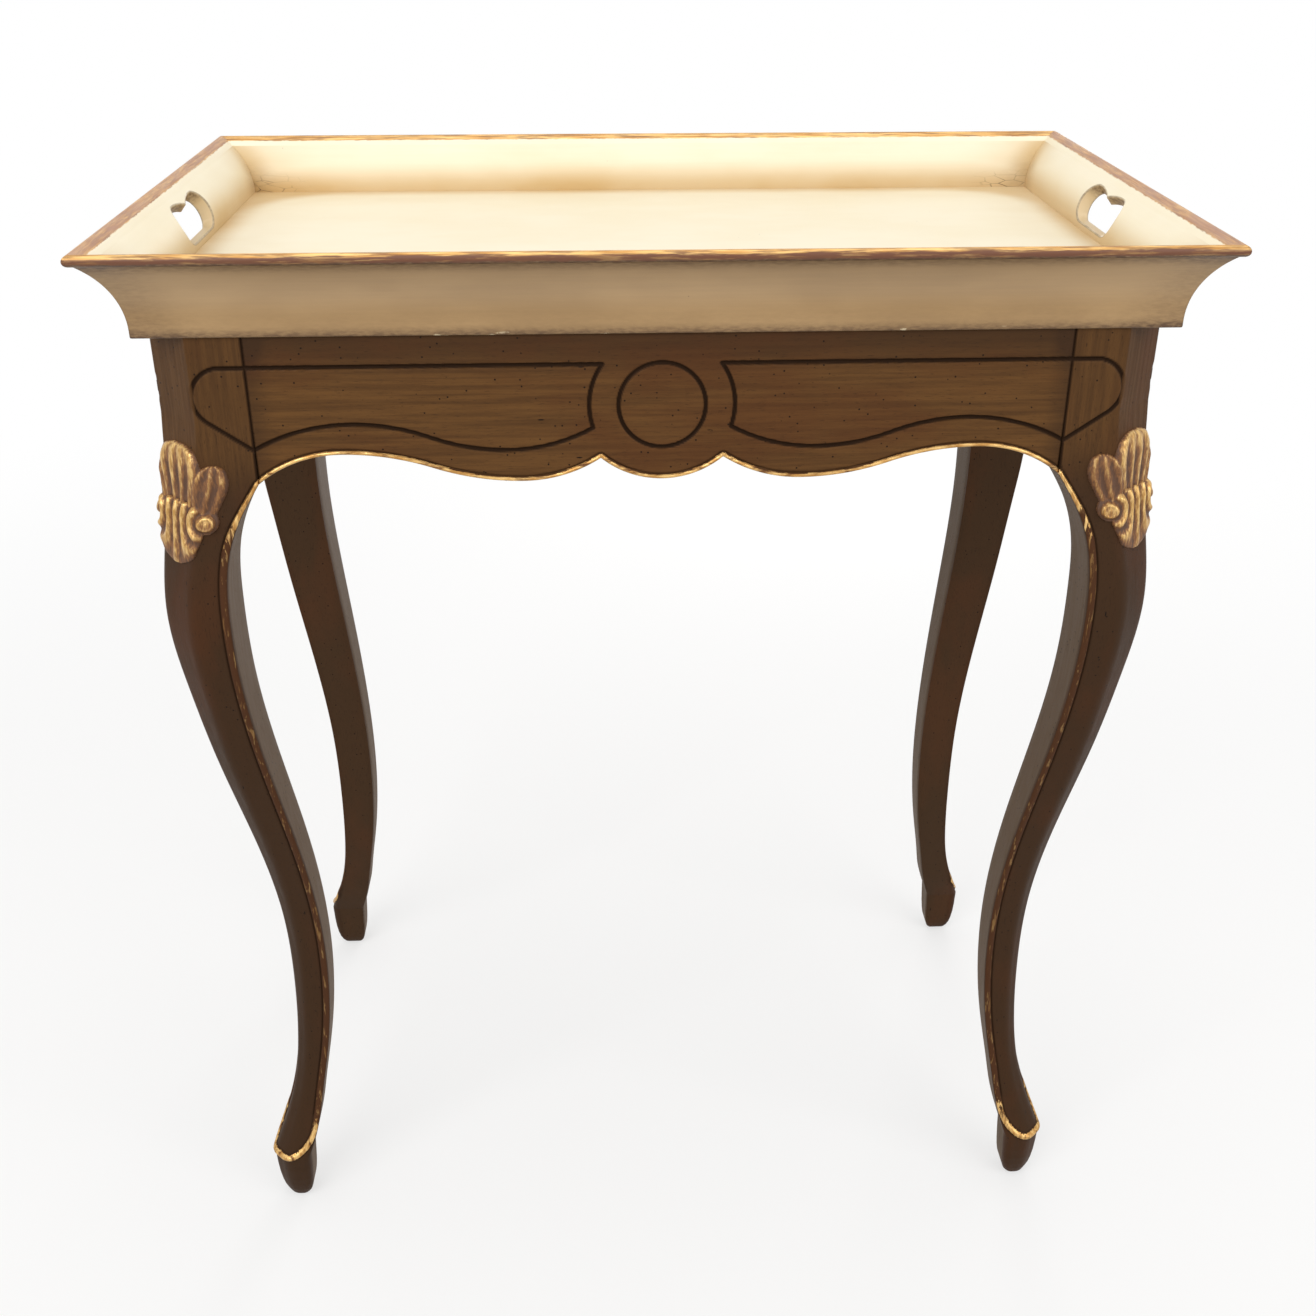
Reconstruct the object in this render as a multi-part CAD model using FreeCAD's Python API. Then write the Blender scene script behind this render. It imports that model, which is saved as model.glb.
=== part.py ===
import FreeCAD, Part
import math
import os

# Tray top tea table: a cove-walled tray that lifts off a stand with cabriole legs.
# Origin at the middle of the footprint on the floor, +X right, +Y to the back, +Z up, millimetres.

Vec = FreeCAD.Vector
UP = Vec(0, 0, 1)
ORIGIN = Vec(0, 0, 0)

# Overall sizes
table_height = 712.0
tray_width = 630.0
tray_depth = 388.0

# Tray moulding: insets run in from the rim's outer edge, drops run down from the rim's top
tray_height = 50.5
tray_flare = 22.5
cove_foot = 4.5
rim_nose = 6.5
rim_quirk = 0.75
rim_band = 12.5
rim_fall = 6.0
rim_crown = 0.8
floor_inset = 28.5
floor_drop = 36.0
floor_thickness = 10.0
floor_clearance = 0.15
ledge_width = 7.5

# Hand holes, cut square to the flare of the end walls
hole_length = 72.0
hole_height = 26.0
hole_cusp = 4.0
hole_inset = 25.0
hole_drop = 18.7
hole_tilt_degrees = 30.0

# Loose splines across the four mitres, laid flat in the ledges
spline_length = 6.0
spline_width = 10.0
spline_thickness = 1.6
spline_inset = 29.5

# Battens under the tray floor, which drop inside the stand
batten_width = 22.0
batten_drop = 13.0
batten_clearance = 1.0
batten_screw_bite = 7.0
batten_screw_place_shares = (-0.7, 0.7)

# Stand frame
stand_setback = 2.3
post_width = 57.0
cant_width = 26.0
apron_thickness = 20.0
apron_height = 87.0
tenon_length = 24.0
tenon_thickness = 8.0
tenon_top_shoulder = 12.0
tenon_low_shoulder = 16.0
tenon_clearance = 0.1

# Scalloped lower edge: rises above the lowest line of the apron, places as shares of its half length
crest_rise = 17.5
cusp_rise = 13.5
lobe_rise = 0.4
long_cusp_share = 0.152
long_low_share = 0.345
long_crest_share = 0.79
short_crest_share = 0.62

# Scribed lines
groove_width = 3.6
groove_depth = 1.6
seam_width = 1.5
top_groove_drop = 17.8
medallion_radius = 24.9
medallion_drop = 42.1
medallion_gap = 16.7
panel_joint_rise = 20.9
panel_crest_rise = 35.5
panel_low_rise = 19.1
panel_end_rise = 31.9
panel_crest_share = 0.76
panel_low_share = 0.38
short_panel_crest_share = 0.58
loop_radius = 17.6
loop_inset = 28.0

# Cabriole leg: height shares of the free leg below the apron, outer and inner inset shares of the post,
# cant shares of the cant width
knee_top_share = 0.42
bracket_outer_share = -0.037
bracket_cant_share = 0.97
leg_section_shares = (
    (0.958, -0.090, 0.745, 0.95),
    (0.856, -0.195, 0.566, 0.80),
    (0.764, -0.105, 0.583, 0.65),
    (0.660, 0.065, 0.686, 0.52),
    (0.538, 0.303, 0.850, 0.42),
    (0.417, 0.472, 0.960, 0.35),
    (0.312, 0.496, 0.957, 0.32),
    (0.226, 0.452, 0.866, 0.31),
    (0.156, 0.345, 0.744, 0.32),
    (0.115, 0.215, 0.665, 0.355),
)
toe_inset = 3.0
toe_cant = 11.0
toe_nose = 3.0
toe_undercut = 1.2
toe_back = 31.0
shoe_height = 40.0
shoe_waist_share = 0.5
shoe_waist_swell = 1.6
shoe_front = 13.5
shoe_back = 26.5
shoe_cant = 6.0

# Corner blocks and their screws
block_reach = 45.0
block_tip = 12.0
block_height = 20.0
block_drop = 6.0
block_screw_bite = 22.0
screw_radius = 2.0
screw_head_radius = 4.0
screw_head_height = 2.6
screw_point = 3.0
screw_tip_radius = 0.4
screw_sides = 8

# Knee shells: spans are wrapped round the canted corner, ridges stand over valleys
shell_waist_drop = 94.0
shell_wrap_share = 0.5
shell_up = 34.0
shell_down = 39.0
shell_step = 2.6
shell_ridge = 4.2
shell_valley = 2.0
shell_root = 7.0
shell_seat_steps = 8
glue_line = 0.1
shell_column_shares = (0.0, 0.16, 0.33, 0.50, 0.66, 0.82, 1.0)
shell_rise_shares = (0.93, 1.0, 0.88, 0.80, 0.42, 0.62, 0.15)
shell_fall_shares = (0.95, 1.0, 0.82, 0.66, 0.38, 0.42, 0.10)
shell_waist_span_share = 0.72
shell_middle_place_share = 0.55
shell_tip_height_share = 0.45
shell_waist_height_share = 0.60

# Allowance by which cutters run past the stock, and how closely corners of a slice lie on one line
overrun = 5.0
slice_tolerance = 0.01

# Places that follow from the sizes above
leg_height = table_height - tray_height
stand_half_width = tray_width / 2 - tray_flare - stand_setback
stand_half_depth = tray_depth / 2 - tray_flare - stand_setback
apron_low = leg_height - apron_height
knee_top = apron_low + knee_top_share * apron_height
shell_half_span = cant_width / math.sqrt(2) + shell_wrap_share * (post_width - cant_width)
floor_top = table_height - floor_drop
floor_bottom = floor_top - floor_thickness
post_center_line = leg_height - block_drop - block_height / 2


def wire_face(edges):
    """A planar face from edges given in order."""
    return Part.Face(Part.Wire(edges))


def line(start, end):
    """A straight edge."""
    return Part.makeLine(start, end)


def arc(start, middle, end):
    """A circular edge through three points."""
    return Part.Arc(start, middle, end).toShape()


def quarter_arc(flat, far):
    """Arc from a point with a level tangent to a far point, both given as (across, up)."""
    run = far[0] - flat[0]
    rise = far[1] - flat[1]
    radius = (run * run + rise * rise) / (2 * rise)
    center = (flat[0], flat[1] + radius)
    return {"start": flat, "end": far, "center": center, "above": rise > 0}


def reverse_arc(piece):
    """The same arc, run the other way."""
    return {**piece, "start": piece["end"], "end": piece["start"]}


def shift_out(piece, point, amount):
    """A point of an arc moved along its normal, upwards for a positive amount."""
    across = piece["center"][0] - point[0]
    up = piece["center"][1] - point[1]
    size = math.hypot(across, up)
    sign = amount if piece["above"] else -amount
    return (point[0] + sign * across / size, point[1] + sign * up / size)


def arc_middle(piece, start, end):
    """Middle point of an arc that runs between two points about the piece's centre."""
    cx, cy = piece["center"]
    radius = math.hypot(start[0] - cx, start[1] - cy)
    across = (start[0] + end[0]) / 2 - cx
    up = (start[1] + end[1]) / 2 - cy
    scale = radius / math.hypot(across, up)
    return (cx + across * scale, cy + up * scale)


def chain_edges(chain, amount, place):
    """Edges of a chain of arcs, shifted along the normals and put into space by place."""
    edges = []
    for piece in chain:
        start = shift_out(piece, piece["start"], amount)
        end = shift_out(piece, piece["end"], amount)
        edges.append(arc(place(start), place(arc_middle(piece, start, end)), place(end)))
    return edges


def band_face(chain, low, high, place):
    """Face between two shifted copies of a chain of arcs."""
    first, last = chain[0], chain[-1]
    lower = chain_edges(chain, low, place)
    upper = chain_edges(chain, high, place)
    start_low = place(shift_out(first, first["start"], low))
    start_high = place(shift_out(first, first["start"], high))
    end_low = place(shift_out(last, last["end"], low))
    end_high = place(shift_out(last, last["end"], high))
    return wire_face(lower + [line(end_low, end_high)] + upper[::-1] + [line(start_high, start_low)])


def strip_face(start, end, width, place):
    """Face of a straight band of the given width between two points."""
    run = end[0] - start[0]
    rise = end[1] - start[1]
    size = math.hypot(run, rise)
    side = (-rise / size * width / 2, run / size * width / 2)
    corners = [(start[0] + side[0], start[1] + side[1]), (end[0] + side[0], end[1] + side[1]),
               (end[0] - side[0], end[1] - side[1]), (start[0] - side[0], start[1] - side[1])]
    return polygon_face([place(corner) for corner in corners])


def ring_face(center, radius, width, start_angle, end_angle, place):
    """Face of a band round part of a circle, angles in degrees."""
    def at(size, angle):
        turn = math.radians(angle)
        return place((center[0] + size * math.cos(turn), center[1] + size * math.sin(turn)))
    half = (start_angle + end_angle) / 2
    inner, outer = radius - width / 2, radius + width / 2
    return wire_face([
        arc(at(outer, start_angle), at(outer, half), at(outer, end_angle)),
        line(at(outer, end_angle), at(inner, end_angle)),
        arc(at(inner, end_angle), at(inner, half), at(inner, start_angle)),
        line(at(inner, start_angle), at(outer, start_angle)),
    ])


def cut_bands(solid, faces, inward, depth, lead):
    """Cut bands that lie on a surface to a depth, starting a lead above the surface."""
    cutters = []
    for face in faces:
        raised = face.copy()
        raised.translate(inward * -lead)
        cutters.append(raised.extrude(inward * (depth + lead)))
    return solid.cut(cutters[0].multiFuse(cutters[1:]) if cutters[1:] else cutters[0])


def polygon_face(points):
    """A flat face with straight sides."""
    return Part.Face(Part.makePolygon(points + points[:1]))


def stacked_solid(rings):
    """Solid with flat sides between rings that have the same corners in the same order."""
    faces = [polygon_face(rings[0]), polygon_face(rings[-1])]
    for lower, upper in zip(rings, rings[1:]):
        for index in range(len(lower)):
            after = (index + 1) % len(lower)
            faces.append(polygon_face([lower[index], lower[after], upper[after], upper[index]]))
    return Part.Solid(Part.Shell(faces))


def save(name, shape):
    """Write one node, as one solid or a group of solids."""
    solids = shape.Solids
    whole = solids[0] if len(solids) == 1 else Part.makeCompound(solids)
    whole.exportStep("parts/" + name + ".step")
    state = "valid" if whole.isValid() else "NOT VALID"
    print(name, len(solids), "solids", state, round(whole.Volume), "mm3")


def turned(shape, degrees):
    """A copy turned about the table's upright axis."""
    copy = shape.copy()
    copy.rotate(ORIGIN, UP, degrees)
    return copy


def four_corners(shape):
    """Copies of a front left piece for each corner, by name."""
    right = shape.mirror(ORIGIN, Vec(1, 0, 0))
    return {
        "front_left": shape,
        "front_right": right,
        "back_left": shape.mirror(ORIGIN, Vec(0, 1, 0)),
        "back_right": right.mirror(ORIGIN, Vec(0, 1, 0)),
    }


def ring_points(radius, height):
    """Corners of a screw's many-sided outline at one height."""
    turns = [2 * math.pi * index / screw_sides for index in range(screw_sides)]
    return [Vec(radius * math.cos(turn), radius * math.sin(turn), height) for turn in turns]


def countersunk_screw(length, head, direction):
    """Wood screw with its flat head at a point and its shank along a direction."""
    screw = stacked_solid([
        ring_points(screw_head_radius, 0),
        ring_points(screw_radius, screw_head_height),
        ring_points(screw_radius, length - screw_point),
        ring_points(screw_tip_radius, length),
    ])
    screw.Placement = FreeCAD.Placement(head, FreeCAD.Rotation(UP, direction))
    return screw


# Tray walls


def wall_section(half_span):
    """Section of the front wall in the plane across it: cove outside, gilt rim, swept inside, ledge."""
    def at(inset, drop):
        return Vec(0, inset - half_span, table_height - drop)
    nose = rim_nose / 2
    cove_start = (tray_flare, tray_height - cove_foot)
    cove_end = (nose + rim_quirk, rim_nose)
    cove_run = cove_start[0] - cove_end[0]
    cove_fall = cove_start[1] - cove_end[1]
    cove_radius = (cove_run ** 2 + cove_fall ** 2) / (2 * cove_run)
    cove_turn = math.asin(cove_fall / cove_radius) / 2
    cove_center = cove_start[0] - cove_radius
    cove_middle = (cove_center + cove_radius * math.cos(cove_turn),
                   cove_start[1] - cove_radius * math.sin(cove_turn))
    sweep_run = floor_inset - rim_band
    sweep_fall = floor_drop - rim_fall
    sweep_radius = (sweep_run ** 2 + sweep_fall ** 2) / (2 * sweep_run)
    sweep_turn = math.asin(sweep_fall / sweep_radius) / 2
    sweep_center = floor_inset - sweep_radius
    sweep_middle = (sweep_center + sweep_radius * math.cos(sweep_turn),
                    floor_drop - sweep_radius * math.sin(sweep_turn))
    band_run = rim_band - nose
    band_size = math.hypot(band_run, rim_fall)
    band_middle = (nose + band_run / 2 + rim_crown * rim_fall / band_size,
                   rim_fall / 2 - rim_crown * band_run / band_size)
    floor_low = floor_drop + floor_thickness
    ledge_inset = floor_inset + ledge_width
    return wire_face([
        line(at(tray_flare, tray_height), at(*cove_start)),
        arc(at(*cove_start), at(*cove_middle), at(*cove_end)),
        line(at(*cove_end), at(nose, rim_nose)),
        arc(at(nose, rim_nose), at(0, nose), at(nose, 0)),
        arc(at(nose, 0), at(*band_middle), at(rim_band, rim_fall)),
        arc(at(rim_band, rim_fall), at(*sweep_middle), at(floor_inset, floor_drop)),
        line(at(floor_inset, floor_drop), at(floor_inset, floor_low)),
        line(at(floor_inset, floor_low), at(ledge_inset, floor_low)),
        line(at(ledge_inset, floor_low), at(ledge_inset, tray_height)),
        line(at(ledge_inset, tray_height), at(tray_flare, tray_height)),
    ])


def mitred_wall(length, half_span):
    """Front wall of a given length, mitred at both ends."""
    section = wall_section(half_span)
    section.translate(Vec(-length / 2, 0, 0))
    stock = section.extrude(Vec(length, 0, 0))
    reach = floor_inset + ledge_width + overrun
    low = table_height - tray_height - overrun
    corners = [
        Vec(-length / 2 - overrun, -half_span - overrun, low),
        Vec(length / 2 + overrun, -half_span - overrun, low),
        Vec(length / 2 - reach, reach - half_span, low),
        Vec(reach - length / 2, reach - half_span, low),
    ]
    return stock.common(polygon_face(corners).extrude(UP * (tray_height + 2 * overrun)))


def hand_hole(half_span):
    """Cutter for the hand hole of a wall in the front position: a stadium with a cusp in its upper edge."""
    radius = hole_height / 2
    shoulder = hole_length / 2 - radius
    tilt = math.radians(hole_tilt_degrees)
    axis = Vec(0, -math.cos(tilt), -math.sin(tilt))
    upright = Vec(0, -math.sin(tilt), math.cos(tilt))
    reach = floor_inset + tray_flare
    center = Vec(0, hole_inset - half_span, table_height - hole_drop) - axis * reach

    def at(across, up):
        return center + Vec(across, 0, 0) + upright * up
    bow = quarter_arc((shoulder, radius), (0, radius - hole_cusp))
    bow_middle = arc_middle(bow, bow["start"], bow["end"])
    face = wire_face([
        line(at(-shoulder, -radius), at(shoulder, -radius)),
        arc(at(shoulder, -radius), at(shoulder + radius, 0), at(shoulder, radius)),
        arc(at(shoulder, radius), at(*bow_middle), at(0, radius - hole_cusp)),
        arc(at(0, radius - hole_cusp), at(-bow_middle[0], bow_middle[1]), at(-shoulder, radius)),
        arc(at(-shoulder, radius), at(-shoulder - radius, 0), at(-shoulder, -radius)),
    ])
    return face.extrude(axis * (2 * reach))


def mitre_spline():
    """Loose spline across the front left mitre."""
    middle = (floor_bottom + table_height - tray_height) / 2
    spline = Part.makeBox(spline_length, spline_width, spline_thickness,
                          Vec(-spline_length / 2, -spline_width / 2, -spline_thickness / 2))
    spline.rotate(ORIGIN, UP, 45)
    spline.translate(Vec(spline_inset - tray_width / 2, spline_inset - tray_depth / 2, middle))
    return spline


def tray_floor():
    """Floor panel, set down on the ledges of the walls."""
    inset = floor_inset + floor_clearance
    width = tray_width - 2 * inset
    depth = tray_depth - 2 * inset
    return Part.makeBox(width, depth, floor_thickness, Vec(-width / 2, -depth / 2, floor_bottom))


def tray_batten(side):
    """Batten under the floor on one side, clear of the stand's aprons and corner blocks."""
    outer = stand_half_width - post_width - block_reach - batten_clearance
    half_length = stand_half_depth - apron_thickness - batten_clearance
    low = leg_height - batten_drop
    left = outer - batten_width if side > 0 else -outer
    return Part.makeBox(batten_width, 2 * half_length, floor_bottom - low, Vec(left, -half_length, low))


def batten_screws(side):
    """Screws up through one batten into the floor."""
    middle = side * (stand_half_width - post_width - block_reach - batten_clearance - batten_width / 2)
    half_length = stand_half_depth - apron_thickness - batten_clearance
    low = leg_height - batten_drop
    length = floor_bottom - low + batten_screw_bite
    return [countersunk_screw(length, Vec(middle, share * half_length, low), UP)
            for share in batten_screw_place_shares]


# Aprons


def apron_chains(half_length, long_side):
    """Right half of the scalloped lower edge, from the middle outwards, as chains that meet at cusps."""
    joint = (half_length, apron_low)
    if not long_side:
        low = (0, apron_low + lobe_rise)
        crest = (half_length * short_crest_share, apron_low + crest_rise)
        first = []
    else:
        cusp = (half_length * long_cusp_share, apron_low + cusp_rise)
        low = (half_length * long_low_share, apron_low)
        crest = (half_length * long_crest_share, apron_low + crest_rise)
        first = [[quarter_arc((0, apron_low + lobe_rise), cusp)]]
    return first + [wave_chain(low, crest, joint, cusp if long_side else None)]


def wave_chain(low, crest, joint, cusp):
    """Wave from a cusp, or from its low point, over its crest to the joint."""
    middle = ((low[0] + crest[0]) / 2, (low[1] + crest[1]) / 2)
    start = [reverse_arc(quarter_arc(low, cusp))] if cusp else []
    fall = [reverse_arc(quarter_arc(crest, middle)), quarter_arc(crest, joint)]
    return start + [quarter_arc(low, middle)] + fall


def mirrored(chain):
    """A chain of arcs on the other side of the middle line, run the same way round."""
    flipped = []
    for piece in reversed(chain):
        back = reverse_arc(piece)
        for key in ("start", "end", "center"):
            back[key] = (-back[key][0], back[key][1])
        flipped.append(back)
    return flipped


def apron_panel_bands(half_length, long_side, place):
    """Scribed lines of an apron's face: panels, and the medallion ring of a long apron."""
    end = half_length - seam_width / 2
    top = leg_height - top_groove_drop
    joint = (end, apron_low + panel_joint_rise)
    half = groove_width / 2
    if not long_side:
        crest = (half_length * short_panel_crest_share, apron_low + panel_crest_rise)
        chain = wave_chain((0, apron_low + panel_low_rise), crest, joint, None)
        return [strip_face((-end, top), (end, top), groove_width, place),
                band_face(mirrored(chain) + chain, -half, half, place)]
    center = (0, leg_height - medallion_drop)
    radius = medallion_radius + medallion_gap
    low_end = apron_low + panel_end_rise
    corner_high = (math.sqrt(radius ** 2 - (top - center[1]) ** 2), top)
    corner_low = (math.sqrt(radius ** 2 - (low_end - center[1]) ** 2), low_end)
    corner_turn = math.degrees(half / radius)
    angle_high = math.degrees(math.atan2(top - center[1], corner_high[0])) + corner_turn
    angle_low = math.degrees(math.atan2(low_end - center[1], corner_low[0])) - corner_turn
    crest = (half_length * panel_crest_share, apron_low + panel_crest_rise)
    low = (half_length * panel_low_share, apron_low + panel_low_rise)
    chain = wave_chain(low, crest, joint, corner_low)
    faces = [ring_face(center, medallion_radius, groove_width, 0, 180, place),
             ring_face(center, medallion_radius, groove_width, 180, 360, place)]
    for side in (1, -1):
        def on_side(point, side=side):
            return place((side * point[0], point[1]))
        faces.append(strip_face(corner_high, (end, top), groove_width, on_side))
        faces.append(ring_face(center, radius, groove_width, angle_low, angle_high, on_side))
        faces.append(band_face(chain, -half, half, on_side))
    return faces


def apron(half_length, face_distance, long_side):
    """Apron in the front position: scalloped and scribed, with a tenon at each end."""
    def place(point):
        return Vec(point[0], -face_distance, point[1])
    inward = Vec(0, 1, 0)
    chains = apron_chains(half_length, long_side)
    lower = [edge for chain in reversed(chains) for edge in chain_edges(mirrored(chain), 0, place)]
    lower += [edge for chain in chains for edge in chain_edges(chain, 0, place)]
    sides = [line(place((half_length, apron_low)), place((half_length, leg_height))),
             line(place((half_length, leg_height)), place((-half_length, leg_height))),
             line(place((-half_length, leg_height)), place((-half_length, apron_low)))]
    board = wire_face(lower + sides).extrude(inward * apron_thickness)
    bands = apron_panel_bands(half_length, long_side, place)
    board = cut_bands(board, bands, inward, groove_depth, overrun)
    seam = [strip_face((side * (half_length - seam_width / 2), apron_low - overrun),
                       (side * (half_length - seam_width / 2), leg_height + overrun), seam_width, place)
            for side in (1, -1)]
    board = cut_bands(board, seam, inward, groove_depth, overrun)

    tenon_setback = (apron_thickness - tenon_thickness) / 2
    tenon_low = apron_low + tenon_low_shoulder
    tenon = Part.makeBox(2 * (half_length + tenon_length), tenon_thickness,
                         leg_height - tenon_top_shoulder - tenon_low,
                         Vec(-half_length - tenon_length, tenon_setback - face_distance, tenon_low))
    return board.fuse(tenon).removeSplitter()


# Legs, in the corner's own frame: across and deep are insets from the stand's outer corner


def leg_section(height, outer, inner, cant):
    """Corners of the leg's plan at one height: a square between two insets with its outer corner canted."""
    plan = [(outer + cant, outer), (inner, outer), (inner, inner), (outer, inner), (outer, outer + cant)]
    return [Vec(across, deep, height) for across, deep in plan]


def cabriole_sections():
    """Height, outer inset, inner inset and cant of the curved leg, from the bracket down to the toe."""
    bracket = (apron_low, bracket_outer_share * post_width, post_width, bracket_cant_share * cant_width)
    tip = (shoe_height + toe_nose, toe_inset, toe_back, toe_cant)
    curved = [(height * apron_low, outer * post_width, inner * post_width, cant * cant_width)
              for height, outer, inner, cant in leg_section_shares]
    return [bracket] + curved + [tip]


def post_loop_bands(place):
    """Scribed loop on one face of the post, which closes the apron's panel."""
    end = post_width - seam_width / 2
    top = leg_height - top_groove_drop
    center = (loop_inset + loop_radius, top - loop_radius)
    foot = (end, apron_low + panel_joint_rise)
    distance = math.hypot(foot[0] - center[0], foot[1] - center[1])
    toward = math.atan2(foot[1] - center[1], foot[0] - center[0])
    angle = math.degrees(toward - math.acos(loop_radius / distance)) + 360
    touch = (center[0] + loop_radius * math.cos(math.radians(angle)),
             center[1] + loop_radius * math.sin(math.radians(angle)))
    return [strip_face((center[0], top), (end, top), groove_width, place),
            ring_face(center, loop_radius, groove_width, 90, angle, place),
            strip_face(touch, foot, groove_width, place)]


def leg_stock():
    """One leg in its corner frame before it is mortised: post, cabriole curve, toe and shoe."""
    sections = cabriole_sections()
    plans = [leg_section(*section) for section in sections]
    wires = [Part.makePolygon(plan + plan[:1]) for plan in plans]
    curved = Part.makeLoft(wires, True, False)
    post = stacked_solid([plans[0],
                          leg_section(knee_top, 0, post_width, cant_width),
                          leg_section(leg_height, 0, post_width, cant_width)])
    under = toe_inset + toe_undercut
    waist = under + shoe_waist_swell
    shoe = stacked_solid([plans[-1],
                          leg_section(shoe_height, under, toe_back, toe_cant),
                          leg_section(shoe_height * shoe_waist_share, waist, toe_back, toe_cant),
                          leg_section(0, shoe_front, shoe_back, shoe_cant)])
    return curved.multiFuse([post, shoe]).removeSplitter()


def leg_block(stock):
    """The leg with its two mortises and the scribed loops on its outer faces."""
    def on_front(point):
        return Vec(point[0], 0, point[1])

    def on_side(point):
        return Vec(0, point[0], point[1])
    setback = (apron_thickness - tenon_thickness) / 2 - tenon_clearance
    thick = tenon_thickness + 2 * tenon_clearance
    low = apron_low + tenon_low_shoulder - tenon_clearance
    tall = leg_height - tenon_top_shoulder + tenon_clearance - low
    deep = tenon_length + tenon_clearance
    body = stock.cut(Part.makeBox(deep + overrun, thick, tall, Vec(post_width - deep, setback, low)))
    body = body.cut(Part.makeBox(thick, deep + overrun, tall, Vec(setback, post_width - deep, low)))

    for place, inward in ((on_front, Vec(0, 1, 0)), (on_side, Vec(1, 0, 0))):
        seam_line = post_width - seam_width / 2
        seam = strip_face((seam_line, apron_low), (seam_line, leg_height + overrun), seam_width, place)
        body = cut_bands(body, post_loop_bands(place) + [seam], inward, groove_depth, groove_depth)
    return body


def corner_profile(stock, height):
    """Outer inset and cant of the leg at a height, read off a level slice."""
    corners = [vertex.Point for vertex in stock.slice(UP, height)[0].Vertexes]
    outer = min(corner.y for corner in corners)
    front = min(corner.x for corner in corners if corner.y - outer < slice_tolerance)
    return outer, front - outer


def knee_point(stock, span, height, lift):
    """Point over the canted corner: span wraps round it from the diagonal, lift stands off it."""
    inset, cant = corner_profile(stock, height)
    cant_half = cant / math.sqrt(2)
    on_cant = min(abs(span), cant_half)
    past = abs(span) - on_cant
    slope = on_cant / math.sqrt(2)
    far = inset + cant / 2 + slope + past
    near = inset + cant / 2 - slope
    turn = min(past, cant_half) / cant_half
    normal = Vec(turn - 1, -1, 0).normalize()
    spot = Vec(far, near, height) + normal * lift
    return spot if span >= 0 else Vec(spot.y, spot.x, spot.z)


def knee_seat(stock):
    """The knee in short flat steps, proud of the leg by a glue line, for the back of the shell."""
    waist = leg_height - shell_waist_drop
    high = waist + shell_up + overrun
    drop = shell_up + shell_down + 2 * overrun
    rings = []
    for step in range(shell_seat_steps + 1):
        level = high - drop * step / shell_seat_steps
        outer, cant = corner_profile(stock, level)
        rings.append(leg_section(level, outer - glue_line, post_width, cant))
    return stacked_solid(rings)


def knee_shell(stock):
    """Carved double fan over the knee: ridges run up and down from a stepped waist."""
    waist = leg_height - shell_waist_drop
    columns = [(-share, rise, fall, index) for index, (share, rise, fall) in
               reversed(list(enumerate(zip(shell_column_shares, shell_rise_shares, shell_fall_shares))))]
    columns += [(-share, rise, fall, index) for share, rise, fall, index in reversed(columns[:-1])]
    front, back = [], []
    for share, rise, fall, index in columns:
        span = share * shell_half_span
        height = shell_ridge if index % 2 else shell_valley
        narrow = span * shell_waist_span_share
        middle_span = narrow + (span - narrow) * shell_middle_place_share
        up = rise * shell_up
        down = fall * shell_down
        rows = [
            (span, waist + up, height * shell_tip_height_share),
            (middle_span, waist + up * shell_middle_place_share, height),
            (narrow, waist + shell_step / 2, height * shell_waist_height_share),
            (narrow, waist - shell_step / 2, height),
            (middle_span, waist - down * shell_middle_place_share, height),
            (span, waist - down, height * shell_tip_height_share),
        ]
        front.append([knee_point(stock, *row) for row in rows])
        back.append([knee_point(stock, row[0], row[1], -shell_root) for row in rows])
    faces = []

    def patch(first, second, third, fourth):
        faces.append(polygon_face([first, second, third]))
        faces.append(polygon_face([first, third, fourth]))
    last_column = len(front) - 1
    last_row = len(front[0]) - 1
    for column in range(last_column):
        for row in range(last_row):
            here, there = front[column], front[column + 1]
            patch(here[row], here[row + 1], there[row + 1], there[row])
            here, there = back[column], back[column + 1]
            patch(here[row], there[row], there[row + 1], here[row + 1])
        for row in (0, last_row):
            patch(front[column][row], front[column + 1][row], back[column + 1][row], back[column][row])
    for row in range(last_row):
        for column in (0, last_column):
            patch(front[column][row], front[column][row + 1], back[column][row + 1], back[column][row])
    carving = Part.Solid(Part.Shell(faces))
    return carving.cut(knee_seat(stock))


def corner_block():
    """Block behind the post, notched round its inner corner and glued to both aprons."""
    far = post_width + block_reach
    tip = apron_thickness + block_tip
    plan = [(post_width, apron_thickness), (far, apron_thickness), (far, tip), (tip, far),
            (apron_thickness, far), (apron_thickness, post_width), (post_width, post_width)]
    low = leg_height - block_drop - block_height
    return polygon_face([Vec(across, deep, low) for across, deep in plan]).extrude(UP * block_height)


def block_screw():
    """Screw through the block's long face into the post's inner corner."""
    middle = (post_width + block_reach + apron_thickness + block_tip) / 2
    length = (middle - post_width) * math.sqrt(2) + block_screw_bite
    return countersunk_screw(length, Vec(middle, middle, post_center_line), Vec(-1, -1, 0).normalize())


def at_corner(shape):
    """A corner-frame shape moved to the front left corner of the stand."""
    copy = shape.copy()
    copy.translate(Vec(-stand_half_width, -stand_half_depth, 0))
    return copy


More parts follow.
